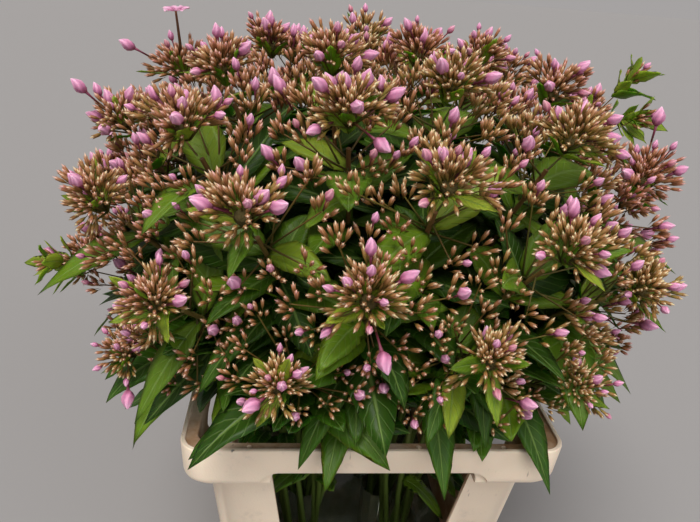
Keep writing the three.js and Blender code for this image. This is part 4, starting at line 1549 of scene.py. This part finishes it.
def long_bud(head, tip, draw):
    """A furled bud that ends at the tip, and the long tube that it stands on."""
    reach = math.dist(tip, head["centre"])
    away = unit(tip - head["centre"])
    length, width = LONG_BUD
    length = min(length, reach - LONG_BUD_ROOM)
    tube = reach - length + TUBE_OVERLAP
    return [
        cloud_entry(tip - away * length, away, length, width, SHAPE_BUD, 0.0, draw() * BUD_TURN),
        cloud_entry(head["centre"], away, tube, LONG_TUBE_WIDTH, SHAPE_TWIG, TUBE_TONE),
    ]


def head_cloud(head):
    """The sheaves of a head, then its side sprays, then its long buds."""
    draw = random_stream(HEAD_SEED + head["index"] * HEAD_SEED_STEP)
    size = head["size"]
    first = draw() * math.pi * 2
    greenness = draw()
    cloud = []
    for index in range(SHEAVES):
        down = math.acos(1 - index / SHEAVES * (1 - math.cos(SHEAF_SWEEP)))
        direction = tilted(head["axis"], first + index * GOLDEN_ANGLE, down)
        jitter = vector(draw() - 0.5, draw() - 0.5, draw() - 0.5) * SHEAF_JITTER * 2
        direction = unit(direction + jitter + UP * SHEAF_LIFT)
        brownness = 0.25 + 0.55 * greenness + 0.3 * (draw() - 0.5) - 0.15 * down
        foot = head["centre"] - head["axis"] * SHEAF_FOOT * size
        fork = head["centre"] + direction * between(SHEAF_FORK, draw()) * size
        cloud += sheaf(foot, fork, direction, size, min(max(brownness, 0), BROWNEST), draw)
    for spray in head["sprays"]:
        foot = head["seat"] - head["axis"] * between(SPRAY_FOOT, draw())
        brownness = 0.2 + 0.5 * greenness + 0.3 * (draw() - 0.5)
        brownness = min(max(brownness, 0), BROWNEST)
        cloud += sheaf(foot, spray["fork"], spray["direction"], size, brownness, draw)
    for tip in head["long_buds"]:
        cloud += long_bud(head, tip, draw)
    return cloud


# %% The core behind the calyces
CORE_RADIUS = 5.5
CORE_LUMPS = 3.0
CORE_LUMP_HEIGHT = 0.18
CORE_RISE = 2.0
CORE_DETAIL = 2


def core_mesh(head):
    """A small lumpy ball behind the calyces, drawn out of an icosphere."""
    work = bmesh.new()
    bmesh.ops.create_icosphere(work, subdivisions=CORE_DETAIL, radius=1.0)
    for corner in work.verts:
        x, y, z = corner.co * CORE_LUMPS
        lump = math.sin(x + head["index"]) * math.cos(y) * math.sin(z + 1)
        corner.co = corner.co * (CORE_RADIUS * head["size"] * (1 + CORE_LUMP_HEIGHT * lump))
        corner.co = (corner.co + Vector(head["centre"] + head["axis"] * CORE_RISE)) * MM
    mesh = bpy.data.meshes.new("core")
    work.to_mesh(mesh)
    work.free()
    mesh.materials.append(CORE_SHADED_STALKS)
    mesh.shade_smooth()
    return mesh


# %% The open flower
FLOWER_PETALS = 5
FLOWER_RADIUS = 12.5
FLOWER_PETAL_WIDTH = 10.5
FLOWER_OPENING = math.radians(78)
FLOWER_TURN = 0.3
FLOWER_TUBE_START = 12.0
FLOWER_TUBE_WIDTH = 3.0


def flower_cloud(head):
    """Five petals spread at the end of a tube that stands out of the head."""
    away = unit(FLOWER_PLACE - head["centre"])
    foot = head["centre"] + away * FLOWER_TUBE_START
    tube = math.dist(FLOWER_PLACE, foot)
    cloud = [cloud_entry(foot, away, tube, FLOWER_TUBE_WIDTH, SHAPE_TWIG, TUBE_TONE)]
    place = FLOWER_PLACE - away
    for petal in range(FLOWER_PETALS):
        angle = petal / FLOWER_PETALS * math.pi * 2 + FLOWER_TURN
        facing = tilted(away, angle, FLOWER_OPENING)
        entry = cloud_entry(place, facing, FLOWER_RADIUS, FLOWER_PETAL_WIDTH, SHAPE_PETAL, 0.0)
        entry["side"] = unit(np.cross(facing, away))
        cloud.append(entry)
    return cloud


# %% Grow every head in place of the model's
HEAD_TONE_SPREAD = 0.25


def make_heads():
    for head in heads:
        name = f"head_{head['index'] + 1:02d}"
        cloud = head_cloud(head)
        if head is flower_head:
            cloud += flower_cloud(head)
        mesh = grow_copies(name, cloud, head["index"] + 1, HEAD_TONE_SPREAD)
        piece = join_piece(f"phlox_{name}", [mesh, core_mesh(head)])
        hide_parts(name)
        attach(piece, "root")
        finished.append(piece)
    print(len(heads), "heads, the last with", len(finished[-1].data.polygons), "faces")


finished = []
make_heads()

# %% [markdown]
# ## Leaves
# Each leaf of the growth rule gets a finely toothed blade. Those leaves alone would leave the dome
# hollow, so smaller ones fill it between them. Ones deep inside stop the light and are painted dark
# as shade, large ones hang over the rim, and short yellow-green bracts stand just under each head.
# They're placed by the same kind of rule, with a fixed seed for each bunch.

# %% Entries for blades
SMALL_WAVE = 1.0
SMALL_LEAF_ROOM = 9.0


def blade_entry(leaf, shape, tone):
    return {
        "place": leaf["foot"] * MM,
        "facing": leaf["direction"],
        "side": leaf["side"],
        "size": vector(leaf["width"], leaf["width"], leaf["length"]) * MM,
        "shape": shape,
        "tone": tone,
        "droop": leaf["droop"] * leaf["length"] * MM,
        "wave": leaf["wave"] * MM,
        "phase": leaf["phase"],
    }


def small_blade(foot, tangent, angle, opening, length, width, droop):
    """A leaf that opens away from a stem with this tangent. The width is a share of the length."""
    turn_up = turned_from_up(tangent)
    outward = turn_up @ vector(math.cos(angle), math.sin(angle), 0)
    return {
        "foot": foot,
        "direction": unit(tangent * math.cos(opening) + outward * math.sin(opening)),
        "side": turn_up @ vector(-math.sin(angle), math.cos(angle), 0),
        "length": length,
        "width": width * length,
        "droop": droop,
        "wave": SMALL_WAVE,
        "phase": angle,
    }


def clear_of_sprays(leaf):
    """Whether a blade passes between the side sprays and not through one."""
    gaps = np.linalg.norm(leaf_samples(leaf)[:, None] - spray_middles, axis=2)
    return gaps.min() > SMALL_LEAF_ROOM


# %% Leaf pairs that fill the dome
FILLER_FIRST = 20.0
FILLER_SPACING = 24.0
FILLER_PAIRS = 8
FILLER_LENGTH = (52.0, 88.0)
FILLER_WIDTH = 0.39
FILLER_LOWEST = 352.0
FILLER_JITTER = 0.5
FILLER_OPENING = (0.8, 1.2)
FILLER_DROOP = (0.2, 0.5)
FILLER_TURNS = (0, 0.4, -0.4, 0.8, -0.8)


def filler_tone(pair, chance):
    """Young leaves near the head are light, and older ones are darker."""
    return max(0.5 - 0.12 * pair, 0.1) + 0.3 * chance


def filler_leaves(stem, draw):
    cloud = []
    turn = draw() * math.pi
    for pair in range(FILLER_PAIRS):
        foot, tangent = point_below_head(stem["path"], FILLER_FIRST + FILLER_SPACING * pair)
        if foot[2] < FILLER_LOWEST:
            break
        for half in range(2):
            angle = turn + pair * math.pi / 2 + half * math.pi + FILLER_JITTER * (draw() - 0.5)
            length = between(FILLER_LENGTH, draw())
            opening = between(FILLER_OPENING, draw())
            droop = between(FILLER_DROOP, draw())
            for offset in FILLER_TURNS:
                leaf = small_blade(foot, tangent, angle + offset, opening, length, FILLER_WIDTH, droop)
                if clear_of_sprays(leaf):
                    break
            tone = filler_tone(pair, draw())
            if leaf_tip(leaf)[2] > FILLER_LOWEST:
                cloud.append(blade_entry(leaf, SHAPE_SMALL_BLADE, tone))
    return cloud


# %% Leaves of the three sprigs
SPRIG_LEAVES = 11
SPRIG_SPAN = 36.0
SPRIG_SHIFT = (0.6, 1.0)
SPRIG_LENGTH = (22.0, 32.0)
SPRIG_WIDTH = 0.42
SPRIG_OPENING = (0.5, 1.1)
SPRIG_DROOP = 0.1
SPRIG_TONE = (0.7, 0.9)


def sprig_leaves(bunch, draw):
    """Short yellow-green leaves down the twigs that stand out of the dome."""
    cloud = []
    for head, place, direction in sprigs:
        for index in range(SPRIG_LEAVES if head["bunch"] == bunch else 0):
            down = SPRIG_SPAN * index / SPRIG_LEAVES * between(SPRIG_SHIFT, draw())
            length = between(SPRIG_LENGTH, draw())
            opening = between(SPRIG_OPENING, draw())
            angle = index * GOLDEN_ANGLE
            foot = place - direction * down
            leaf = small_blade(foot, direction, angle, opening, length, SPRIG_WIDTH, SPRIG_DROOP)
            cloud.append(blade_entry(leaf, SHAPE_SMALL_BLADE, between(SPRIG_TONE, draw())))
    return cloud


# %% Dark leaves inside the dome
INNER_LEAVES = 9
INNER_FIRST = 34.0
INNER_SPACING = 17.0
INNER_LENGTH = (60.0, 84.0)
INNER_WIDTH = 0.42
INNER_OPENING = (1.2, 1.6)
INNER_DROOP = 0.15
# Painted shade: the deep leaves take the darkest green of the ramp
INNER_SHADE_TONE = 0.1


def inner_leaves(stem, draw):
    """Leaves deep in the dome, dark as painted shade, that keep the light from shining through."""
    cloud = []
    turn = draw() * math.pi
    for count in range(INNER_LEAVES):
        foot, tangent = point_below_head(stem["path"], INNER_FIRST + INNER_SPACING * count)
        if foot[2] < FILLER_LOWEST:
            break
        angle = turn + count * GOLDEN_ANGLE
        length = between(INNER_LENGTH, draw())
        opening = between(INNER_OPENING, draw())
        leaf = small_blade(foot, tangent, angle, opening, length, INNER_WIDTH, INNER_DROOP * draw())
        if leaf_tip(leaf)[2] > FILLER_LOWEST:
            cloud.append(blade_entry(leaf, SHAPE_PLAIN_BLADE, INNER_SHADE_TONE * draw()))
    return cloud


# %% Leaves low on the outer stems
RIM_LEAF_TRIES = 24
RIM_LEAF_FIRST = 26.0
RIM_LEAF_STEP = 8.5
RIM_LEAF_LOWEST = 235.0
RIM_LEAF_SWING = 1.7
RIM_LEAF_RISE = (0.1, 0.9)
RIM_LEAF_LENGTH = (68.0, 104.0)
RIM_LEAF_DROOP = (0.2, 0.75)
RIM_LEAF_WIDTH = 0.42
RIM_LEAF_WAVE = LEAF_WAVE * 1.5
RIM_LEAF_PHASE = 6.0
SHORT_IN_WINDOW = 0.6
FINE_BLADE_SHARE = 0.3
WIDEST_LEAF = 250.0
FRONT_RIM_Y = 190.0
FRONT_RIM_CLEAR = 356.0


def rim_leaf(foot, draw):
    """A leaf that leaves its stem away from the container's middle, and its tone."""
    away = math.atan2(foot[1], foot[0]) + RIM_LEAF_SWING * (draw() - 0.5)
    rise = between(RIM_LEAF_RISE, draw())
    length = between(RIM_LEAF_LENGTH, draw())
    if foot[2] < CONTAINER_HEIGHT:
        length *= SHORT_IN_WINDOW
    outward = vector(math.cos(away), math.sin(away), 0)
    leaf = {
        "foot": foot,
        "direction": unit(outward + UP * rise),
        "side": vector(-math.sin(away), math.cos(away), 0),
        "length": length,
        "width": RIM_LEAF_WIDTH * length,
        "droop": between(RIM_LEAF_DROOP, draw()),
        "wave": RIM_LEAF_WAVE,
        "phase": draw() * RIM_LEAF_PHASE,
    }
    return leaf, 0.1 + 0.55 * draw() ** 1.5


def rim_leaf_fits(leaf):
    """Whether it keeps to the dome's width, leaves the front rim in sight and touches nothing."""
    samples = leaf_samples(leaf)
    narrow = np.abs(samples[:, :2]).max() < WIDEST_LEAF
    hides_rim = samples[:, 1].min() < -FRONT_RIM_Y and samples[:, 2].min() < FRONT_RIM_CLEAR
    return narrow and not hides_rim and clear_of_container(samples).all() and clear_of_sprays(leaf)


def rim_leaves(stem, draw):
    """Large leaves low on the outer stems: some hang over the rim, and some fill the windows."""
    cloud = []
    tries = RIM_LEAF_TRIES if stem["head"]["index"] >= CROWN_HEADS else 0
    for count in range(tries):
        foot, tangent = point_below_head(stem["path"], RIM_LEAF_FIRST + RIM_LEAF_STEP * count)
        if foot[2] < RIM_LEAF_LOWEST:
            break
        leaf, tone = rim_leaf(foot, draw)
        if rim_leaf_fits(leaf):
            shape = SHAPE_BLADE if draw() < FINE_BLADE_SHARE else SHAPE_SMALL_BLADE
            cloud.append(blade_entry(leaf, shape, tone))
    return cloud


# %% Bracts under the heads
BRACTS = 4
BRACT_LENGTH = (26.0, 44.0)
BRACT_WIDTH = 0.34
BRACT_FOOT = (14.0, -2.0)
BRACT_JITTER = 0.6
BRACT_OPENING = (0.4, 1.2)
BRACT_DROOP = 0.1
BRACT_TONE = (0.55, 0.95)


def bracts(stem, draw):
    cloud = []
    head = stem["head"]
    turn = draw() * math.pi
    for index in range(BRACTS):
        foot = head["centre"] - head["axis"] * between(BRACT_FOOT, draw()) * head["size"]
        length = between(BRACT_LENGTH, draw()) * head["size"]
        angle = turn + index * math.pi * 2 / BRACTS + BRACT_JITTER * (draw() - 0.5)
        opening = between(BRACT_OPENING, draw())
        leaf = small_blade(foot, head["axis"], angle, opening, length, BRACT_WIDTH, BRACT_DROOP)
        cloud.append(blade_entry(leaf, SHAPE_SMALL_BLADE, between(BRACT_TONE, draw())))
    return cloud


# %% [markdown]
# ## Stems and ties
# A stem is a path with a radius. A tube could be modelled by hand for each, but Geometry Nodes
# sweep a circle along all of the paths at once. The radius shrinks towards the head, and the
# corners of the path are rounded first. The same tree sweeps the band that is wound round each
# bunch near its foot.

# %% The tree that sweeps the stems
STEM_SIDES = 9
STEM_CORNER = 0.02
CORNER_POINTS = 4
SWEEP_INPUTS = {"Sides": STEM_SIDES, "Corner": STEM_CORNER, "Thickness": 1.0}


def stems_tree():
    sockets = [
        ("Sides", "NodeSocketInt", STEM_SIDES),
        ("Corner", "NodeSocketFloat", STEM_CORNER),
        ("Thickness", "NodeSocketFloat", 1.0),
    ]
    tree, given, result = new_tree("swept_stems", sockets)
    curve = add_node(tree, "GeometryNodeMeshToCurve", mesh=given.outputs["Geometry"]).outputs[0]
    rounded = add_node(
        tree, "GeometryNodeFilletCurve", {"mode": "POLY"},
        curve=curve, radius=given.outputs["Corner"], limit_radius=True, count=CORNER_POINTS,
    )
    swept = add_node(
        tree, "GeometryNodeSetCurveRadius",
        curve=rounded.outputs[0],
        radius=calculate(tree, "MULTIPLY", named(tree, "thickness"), given.outputs["Thickness"]),
    )
    circle = add_node(tree, "GeometryNodeCurvePrimitiveCircle", radius=1.0)
    tree.links.new(given.outputs["Sides"], circle.inputs["Resolution"])
    tube = add_node(
        tree, "GeometryNodeCurveToMesh",
        curve=swept.outputs[0], profile_curve=circle.outputs[0], fill_caps=True,
        scale=named(tree, "thickness"),
    )
    smooth = add_node(tree, "GeometryNodeSetShadeSmooth", geometry=tube.outputs[0])
    real = add_node(tree, "GeometryNodeRealizeInstances", geometry=smooth.outputs[0])
    done = add_node(tree, "GeometryNodeSetMaterial", geometry=real.outputs[0], material=STEM_GREEN)
    tree.links.new(done.outputs[0], result.inputs[0])
    return tree


STEMS_TREE = stems_tree()

# %% The stems and the tie of one bunch
STEM_RADIUS_LOW = 2.8
STEM_RADIUS_HIGH = 1.7
TIE_RADIUS = 13.5
TIE_THICKNESS = 1.2
TIE_TURNS = 4
TIE_STEPS = 20
TIE_PITCH = 2.0


def tie_path(bunch):
    """A band that climbs a little with each turn round the bunch."""
    middle = bunch_middle(bunch)
    points = []
    for step in range(TIE_STEPS * TIE_TURNS + 1):
        turns = step / TIE_STEPS
        angle = turns * math.pi * 2
        rise = TIE_HEIGHT + turns * TIE_PITCH
        points.append(middle + vector(math.cos(angle) * TIE_RADIUS, math.sin(angle) * TIE_RADIUS, rise))
    return points


def stems_mesh(name, bunch):
    paths = []
    for stem in stems:
        if stem["bunch"] == bunch:
            paths.append((stem["path"], STEM_RADIUS_LOW, STEM_RADIUS_HIGH))
    paths.append((tie_path(bunch), TIE_THICKNESS, TIE_THICKNESS))
    points = []
    edges = []
    thickness = []
    for path, low, high in paths:
        first = len(points)
        last = len(path) - 1
        points += [tuple(point * MM) for point in path]
        edges += [(first + step, first + step + 1) for step in range(last)]
        thickness += [(low + (high - low) * step / last) * MM for step in range(len(path))]
    mesh = bpy.data.meshes.new(name)
    mesh.from_pydata(points, edges, [])
    values = np.array(thickness, dtype=np.float32)
    mesh.attributes.new("thickness", "FLOAT", "POINT").data.foreach_set("value", values)
    return run_tree(name, add_object(name, mesh), STEMS_TREE, SWEEP_INPUTS)


# %% Grow every bunch in place of the model's
LEAF_TONE_SPREAD = 0.2
LARGE_LEAF_TONE = (0.15, 0.5)
BUNCH_SEED = 4200


def make_bunches():
    for bunch in range(BUNCH_COUNT):
        name = f"leafy_bunch_{bunch + 1}"
        draw = random_stream(BUNCH_SEED + bunch)
        cloud = []
        for stem in stems:
            if stem["bunch"] == bunch:
                for leaf in stem["leaves"]:
                    cloud.append(blade_entry(leaf, SHAPE_BLADE, between(LARGE_LEAF_TONE, draw())))
                cloud += filler_leaves(stem, draw)
                cloud += inner_leaves(stem, draw)
                cloud += rim_leaves(stem, draw)
                cloud += bracts(stem, draw)
        cloud += sprig_leaves(bunch, draw)
        leaves = grow_copies(name + "_leaves", cloud, bunch + 1, LEAF_TONE_SPREAD)
        piece = join_piece(f"phlox_{name}", [leaves, stems_mesh(name + "_stems", bunch)])
        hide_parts(name)
        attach(piece, "root")
        finished.append(piece)
        print(piece.name, len(cloud), "blades and", len(piece.data.polygons), "faces")


make_bunches()

# %% [markdown]
# ## Container
# The container is injection-moulded polypropylene: thin walls, a flared collar that makes it
# stackable, and windows to lift it by. A box with thick walls would miss the lip and the sunk
# ledge, so the wall is lofted from rounded rectangles. The windows are cut out with Booleans, and
# a small bevel rounds the cut edges as a mould does.

# %% Wall rings from the outside foot over the lip to the inside floor
CORNER_STEPS = 10
HALF_WIDTH = RIM_WIDTH / 2
HALF_DEPTH = RIM_DEPTH / 2
FLOOR_THICKNESS = 4.0
SHELF_HEIGHT = CONTAINER_HEIGHT - COLLAR_HEIGHT
LEDGE_HEIGHT = 338.0
MERGE_DISTANCE = 0.0005


def wall_ring(inset, height, corner):
    """A rounded rectangle, counter-clockwise seen from above."""
    points = []
    for quarter, (right, back) in enumerate([(1, 1), (-1, 1), (-1, -1), (1, -1)]):
        x = right * (HALF_WIDTH - inset - corner)
        y = back * (HALF_DEPTH - inset - corner)
        for step in range(CORNER_STEPS + 1):
            angle = (quarter + step / CORNER_STEPS) * math.pi / 2
            points.append((x + corner * math.cos(angle), y + corner * math.sin(angle), height))
    return points


def container_rings():
    """The inset from the rim, the height and the corner radius of each ring."""
    rim = CONTAINER_HEIGHT
    shelf = SHELF_HEIGHT
    ledge = LEDGE_HEIGHT
    lower = body_inset(8)
    foot = [(body_inset(0) + 4, 0, 16), (body_inset(1) + 1.2, 1.2, 19), (body_inset(4), 4, 20)]
    collar = [
        (17, shelf - 2, 22), (16, shelf - 0.4, 22), (14, shelf, 22), (10, shelf, 22),
        (6, shelf + 0.6, 22), (3, shelf + 3, 21), (1.4, shelf + 6, 19), (1, shelf + 9, 18),
    ]
    lip = [
        (0, rim - 2, 17), (0.3, rim - 0.6, 16.7), (1, rim, 16),
        (3.2, rim, 14), (3.8, rim - 0.6, 14), (4, ledge, 14),
    ]
    inside = [
        (11.5, ledge, 11), (12.2, ledge - 0.6, 11), (12.5, ledge - 2, 11),
        (13.5, shelf + 8, 11), (15, shelf + 5, 13), (20.5, shelf + 2, 18),
    ]
    floor = [(lower + 3.5, 8, 16), (lower + 4.5, 5.2, 15), (lower + 7.5, FLOOR_THICKNESS, 12)]
    return foot + collar + lip + inside + floor


def lofted_wall():
    work = bmesh.new()
    rings = [[work.verts.new(point) for point in wall_ring(*ring)] for ring in container_rings()]
    count = len(rings[0])
    for low, high in zip(rings, rings[1:]):
        for index in range(count):
            after = (index + 1) % count
            work.faces.new((low[index], low[after], high[after], high[index]))
    work.faces.new(list(reversed(rings[0])))
    work.faces.new(rings[-1])
    bmesh.ops.remove_doubles(work, verts=work.verts, dist=MERGE_DISTANCE)
    bmesh.ops.recalc_face_normals(work, faces=work.faces)
    return work


# %% Cutters for the windows and the small drain holes
WINDOW_CORNER = 11.0
WINDOW_TOP = CONTAINER_HEIGHT - WINDOW_DROP
WINDOW_LEAN = 0.13
FRONT_WINDOW_HALF = 83.0
SIDE_WINDOW_HALF = 137.0
RECESS_MARGIN = 10.0
RECESS_DEPTH = 5.0
RECESS_CORNER_GROWTH = 0.4
DRAIN_PLACES = (-98.0, -30.0, 32.0, 100.0)
DRAIN_RADIUS = 2.0
DRAIN_DEPTH = 4.0
DRAIN_SIDES = 20
DRAIN_LINE = 192.5
CUTTER_CORNER_STEPS = 6


def rounded_outline(corners, radius):
    """Round each corner of a convex outline of (across, height) points."""
    outline = []
    count = len(corners)
    for index, corner in enumerate(corners):
        here = Vector(corner)
        before = (Vector(corners[index - 1]) - here).normalized()
        after = (Vector(corners[(index + 1) % count]) - here).normalized()
        half_angle = before.angle(after) / 2
        start = here + before * (radius / math.tan(half_angle))
        end = here + after * (radius / math.tan(half_angle))
        for step in range(CUTTER_CORNER_STEPS + 1):
            share = step / CUTTER_CORNER_STEPS
            straight = start.lerp(end, share)
            toward = here - (start + end) / 2
            bulge = 1 - (2 * share - 1) ** 2
            depth = (toward.length - (radius / math.sin(half_angle) - radius)) * bulge
            outline.append(straight + toward.normalized() * depth)
    return outline


def window_outline(half_top, margin):
    """The window's four corners, wider by the margin at the sides and below."""
    top = WINDOW_TOP
    bottom = WINDOW_FOOT - margin
    half_top = half_top + margin
    half_bottom = half_top - WINDOW_LEAN * (top - bottom)
    corners = [(-half_bottom, bottom), (half_bottom, bottom), (half_top, top), (-half_top, top)]
    return rounded_outline(corners, WINDOW_CORNER + margin * RECESS_CORNER_GROWTH)


def prism(outline, near, far, turned):
    """Draw an outline of (across, height) out along Y, or along X if turned."""
    work = bmesh.new()
    ends = []
    for away in (near, far):
        ring = []
        for across, height in outline:
            ring.append(work.verts.new((away, across, height) if turned else (across, away, height)))
        ends.append(ring)
    work.faces.new(ends[0])
    work.faces.new(list(reversed(ends[1])))
    for index in range(len(outline)):
        after = (index + 1) % len(outline)
        work.faces.new((ends[0][index], ends[0][after], ends[1][after], ends[1][index]))
    bmesh.ops.recalc_face_normals(work, faces=work.faces)
    return work


def mesh_object(name, work):
    """Turn work in millimetres into an object in metres."""
    mesh = bpy.data.meshes.new(name)
    for corner in work.verts:
        corner.co *= MM
    work.to_mesh(mesh)
    work.free()
    return add_object(name, mesh)


# %% Cut the wall
CUT_REACH = 60.0


def cut_away(target, cutter):
    modifier = target.modifiers.new("cut", "BOOLEAN")
    modifier.object = cutter
    modifier.operation = "DIFFERENCE"
    modifier.solver = "EXACT"
    apply_modifiers(target)
    bpy.data.objects.remove(cutter)


def apply_modifiers(target):
    evaluated = target.evaluated_get(bpy.context.evaluated_depsgraph_get())
    mesh = bpy.data.meshes.new_from_object(evaluated)
    target.modifiers.clear()
    old = target.data
    target.data = mesh
    bpy.data.meshes.remove(old)


def window_cutters():
    """A hole and a shallow recess round it, for each of the four sides."""
    cutters = []
    front = (FRONT_WINDOW_HALF, HALF_DEPTH, False)
    side = (SIDE_WINDOW_HALF, HALF_WIDTH, True)
    for half_top, half_span, turned in (front, side):
        hole = window_outline(half_top, 0)
        recess = window_outline(half_top, RECESS_MARGIN)
        for sign in (-1, 1):
            inner = sign * (half_span - CUT_REACH)
            outer = sign * (half_span + CUT_REACH)
            cutters.append(mesh_object("window_cutter", prism(hole, inner, outer, turned)))
            recess_floor = sign * (half_span - RECESS_DEPTH)
            cutters.append(mesh_object("recess_cutter", prism(recess, recess_floor, outer, turned)))
    return cutters


def drain_cutters():
    cutters = []
    for x in DRAIN_PLACES:
        for y in (-DRAIN_LINE, DRAIN_LINE):
            work = bmesh.new()
            place = Matrix.Translation((x, y, LEDGE_HEIGHT))
            bmesh.ops.create_cone(
                work, cap_ends=True, segments=DRAIN_SIDES, depth=DRAIN_DEPTH * 2,
                radius1=DRAIN_RADIUS, radius2=DRAIN_RADIUS, matrix=place,
            )
            cutters.append(mesh_object("drain_cutter", work))
    return cutters


# %% [markdown]
# ## Cream plastic
# The plastic is cream with cloudy patches, scuffs and dark specks. A brown stain covers the ledge
# and the inner walls, and the colour turns darker and browner towards the foot. A painted image
# could carry the dirt, but noise at several scales varies all round without a seam. Height alone
# would put the stain on the outside too, so the points that face inwards carry a mark.

# %% Finish of the container's plastic
RIM_GLOW = (0.93, 0.78, 0.61)
DULL_CREAM = (0.86, 0.71, 0.55)
SCUFF_GREY = (0.20, 0.175, 0.15)
SCUFF_SHARE = 0.30
SPECK_DARK = (0.10, 0.085, 0.075)
SPECK_SHARE = 0.75
SPECK_STRETCH = (1.0, 1.0, 0.25)
STAIN_BROWN = (0.34, 0.155, 0.050)
STAIN_SHARE = 0.9
BOTTOM_BROWN = (0.24, 0.17, 0.11)
BOTTOM_BAND_HEIGHT = 0.05
BOTTOM_BAND_SHARE = 0.35
PLASTIC_ROUGHNESS = (0.38, 0.56)


def stained_plastic():
    material, tree, shader = start_material("cream_plastic", 0.46, 0.45)
    place = object_place(tree)
    cloudy = noise(tree, 9.0, 4.0, 0.6)
    colour = mix_colours(tree, range_of(tree, cloudy, 0.35, 0.65), DULL_CREAM, RIM_GLOW)
    blotches = range_of(tree, noise(tree, 22.0, 5.0, 0.7), 0.56, 0.72)
    colour = mix_colours(tree, calculate(tree, "MULTIPLY", blotches, SCUFF_SHARE), colour, SCUFF_GREY)
    stretched = add_node(tree, "ShaderNodeMapping", vector=place, scale=SPECK_STRETCH).outputs[0]
    specks = range_of(tree, noise(tree, 170.0, 2.0, 0.5, stretched), 0.70, 0.76)
    colour = mix_colours(tree, calculate(tree, "MULTIPLY", specks, SPECK_SHARE), colour, SPECK_DARK)
    parts = add_node(tree, "ShaderNodeSeparateXYZ", vector=place)
    inside = attribute(tree, "inside")
    dirty = range_of(tree, noise(tree, 30.0, 4.0, 0.65), 0.30, 0.62, 0.25, 1.0)
    stained = calculate(tree, "MULTIPLY", inside, dirty)
    colour = mix_colours(tree, calculate(tree, "MULTIPLY", stained, STAIN_SHARE), colour, STAIN_BROWN)
    # Darker and browner over the lowest five centimetres, towards the foot
    bottom_band = range_of(tree, parts.outputs["Z"], 0.0, BOTTOM_BAND_HEIGHT, BOTTOM_BAND_SHARE, 0.0)
    colour = mix_colours(tree, bottom_band, colour, BOTTOM_BROWN)
    paint(tree, shader, colour)
    rough = range_of(tree, cloudy, 0.3, 0.7, *PLASTIC_ROUGHNESS)
    tree.links.new(rough, shader.inputs["Roughness"])
    scatter(shader, 0.08, 0.004)
    grain = calculate(tree, "ADD", noise(tree, 700.0, 2.0), calculate(tree, "MULTIPLY", specks, -1.5))
    bump(tree, shader, grain, 0.00025, 0.6)
    return material


CREAM_PLASTIC = stained_plastic()
print("made", CREAM_PLASTIC.name)


# %% Mark the inside faces, round the cut edges and put the container in place
EDGE_ROUNDING = 0.0007
EDGE_SEGMENTS = 2
EDGE_ANGLE = math.radians(50)
SMOOTH_ANGLE = math.radians(32)
FACES_IN_BELOW = -0.3
FACES_UP_ABOVE = 0.6
LEDGE_MARGIN = 0.5


def mark_inside(mesh):
    """The ledge and the inner walls carry a stain, so their points are marked."""
    marks = np.zeros(len(mesh.vertices), dtype=np.float32)
    for corner in mesh.vertices:
        x, y, z = corner.co / MM
        outward = Vector((x / HALF_WIDTH, y / HALF_DEPTH, 0)).normalized()
        faces_in = corner.normal.dot(outward) < FACES_IN_BELOW
        faces_up = corner.normal.z > FACES_UP_ABOVE and z < LEDGE_HEIGHT + LEDGE_MARGIN
        marks[corner.index] = 1.0 if faces_in or faces_up else 0.0
    mesh.attributes.new("inside", "FLOAT", "POINT").data.foreach_set("value", marks)


def make_container():
    piece = mesh_object("fine_container", lofted_wall())
    for cutter in window_cutters() + drain_cutters():
        cut_away(piece, cutter)
    bevel = piece.modifiers.new("rounding", "BEVEL")
    bevel.width = EDGE_ROUNDING
    bevel.segments = EDGE_SEGMENTS
    bevel.limit_method = "ANGLE"
    bevel.angle_limit = EDGE_ANGLE
    apply_modifiers(piece)
    mark_inside(piece.data)
    piece.data.shade_smooth()
    piece.data.set_sharp_from_angle(angle=SMOOTH_ANGLE)
    piece.data.materials.clear()
    piece.data.materials.append(CREAM_PLASTIC)
    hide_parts("container")
    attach(piece, "root")
    finished.append(piece)
    print("container has", len(piece.data.polygons), "faces")


make_container()

# %% [markdown]
# ## Water
# Still water has no finer form, so the model's own solid stays and only its finish is new. It is
# clear with a faint green tint from the stems, and its surface carries small ripples.

# %% Water material
WATER_DEEP = (0.62, 0.74, 0.60)
WATER_PALE = (0.74, 0.82, 0.70)
WATER_CLEARNESS = 0.9
WATER_IOR = 1.33


def water_material():
    material, tree, shader = start_material("clear_water", 0.03, 0.5)
    tint = mix_colours(tree, noise(tree, 12.0), WATER_DEEP, WATER_PALE)
    paint(tree, shader, tint)
    shader.inputs["Transmission Weight"].default_value = WATER_CLEARNESS
    shader.inputs["IOR"].default_value = WATER_IOR
    bump(tree, shader, noise(tree, 45.0, 2.0), 0.0008, 0.4)
    return material


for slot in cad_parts["water"].material_slots:
    slot.material = water_material()
print("water has", len(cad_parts["water"].data.polygons), "faces")

# %% [markdown]
# ## Last steps
# The shapes that were copied are removed, and the triangles of the finished pieces are counted.
# Every piece rides on the model's body.

# %% Measure and finish
for shape in SHAPES:
    bpy.data.objects.remove(shape)
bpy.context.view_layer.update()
triangles = sum(len(face.vertices) - 2 for piece in finished for face in piece.data.polygons)
print("triangles in all", triangles)
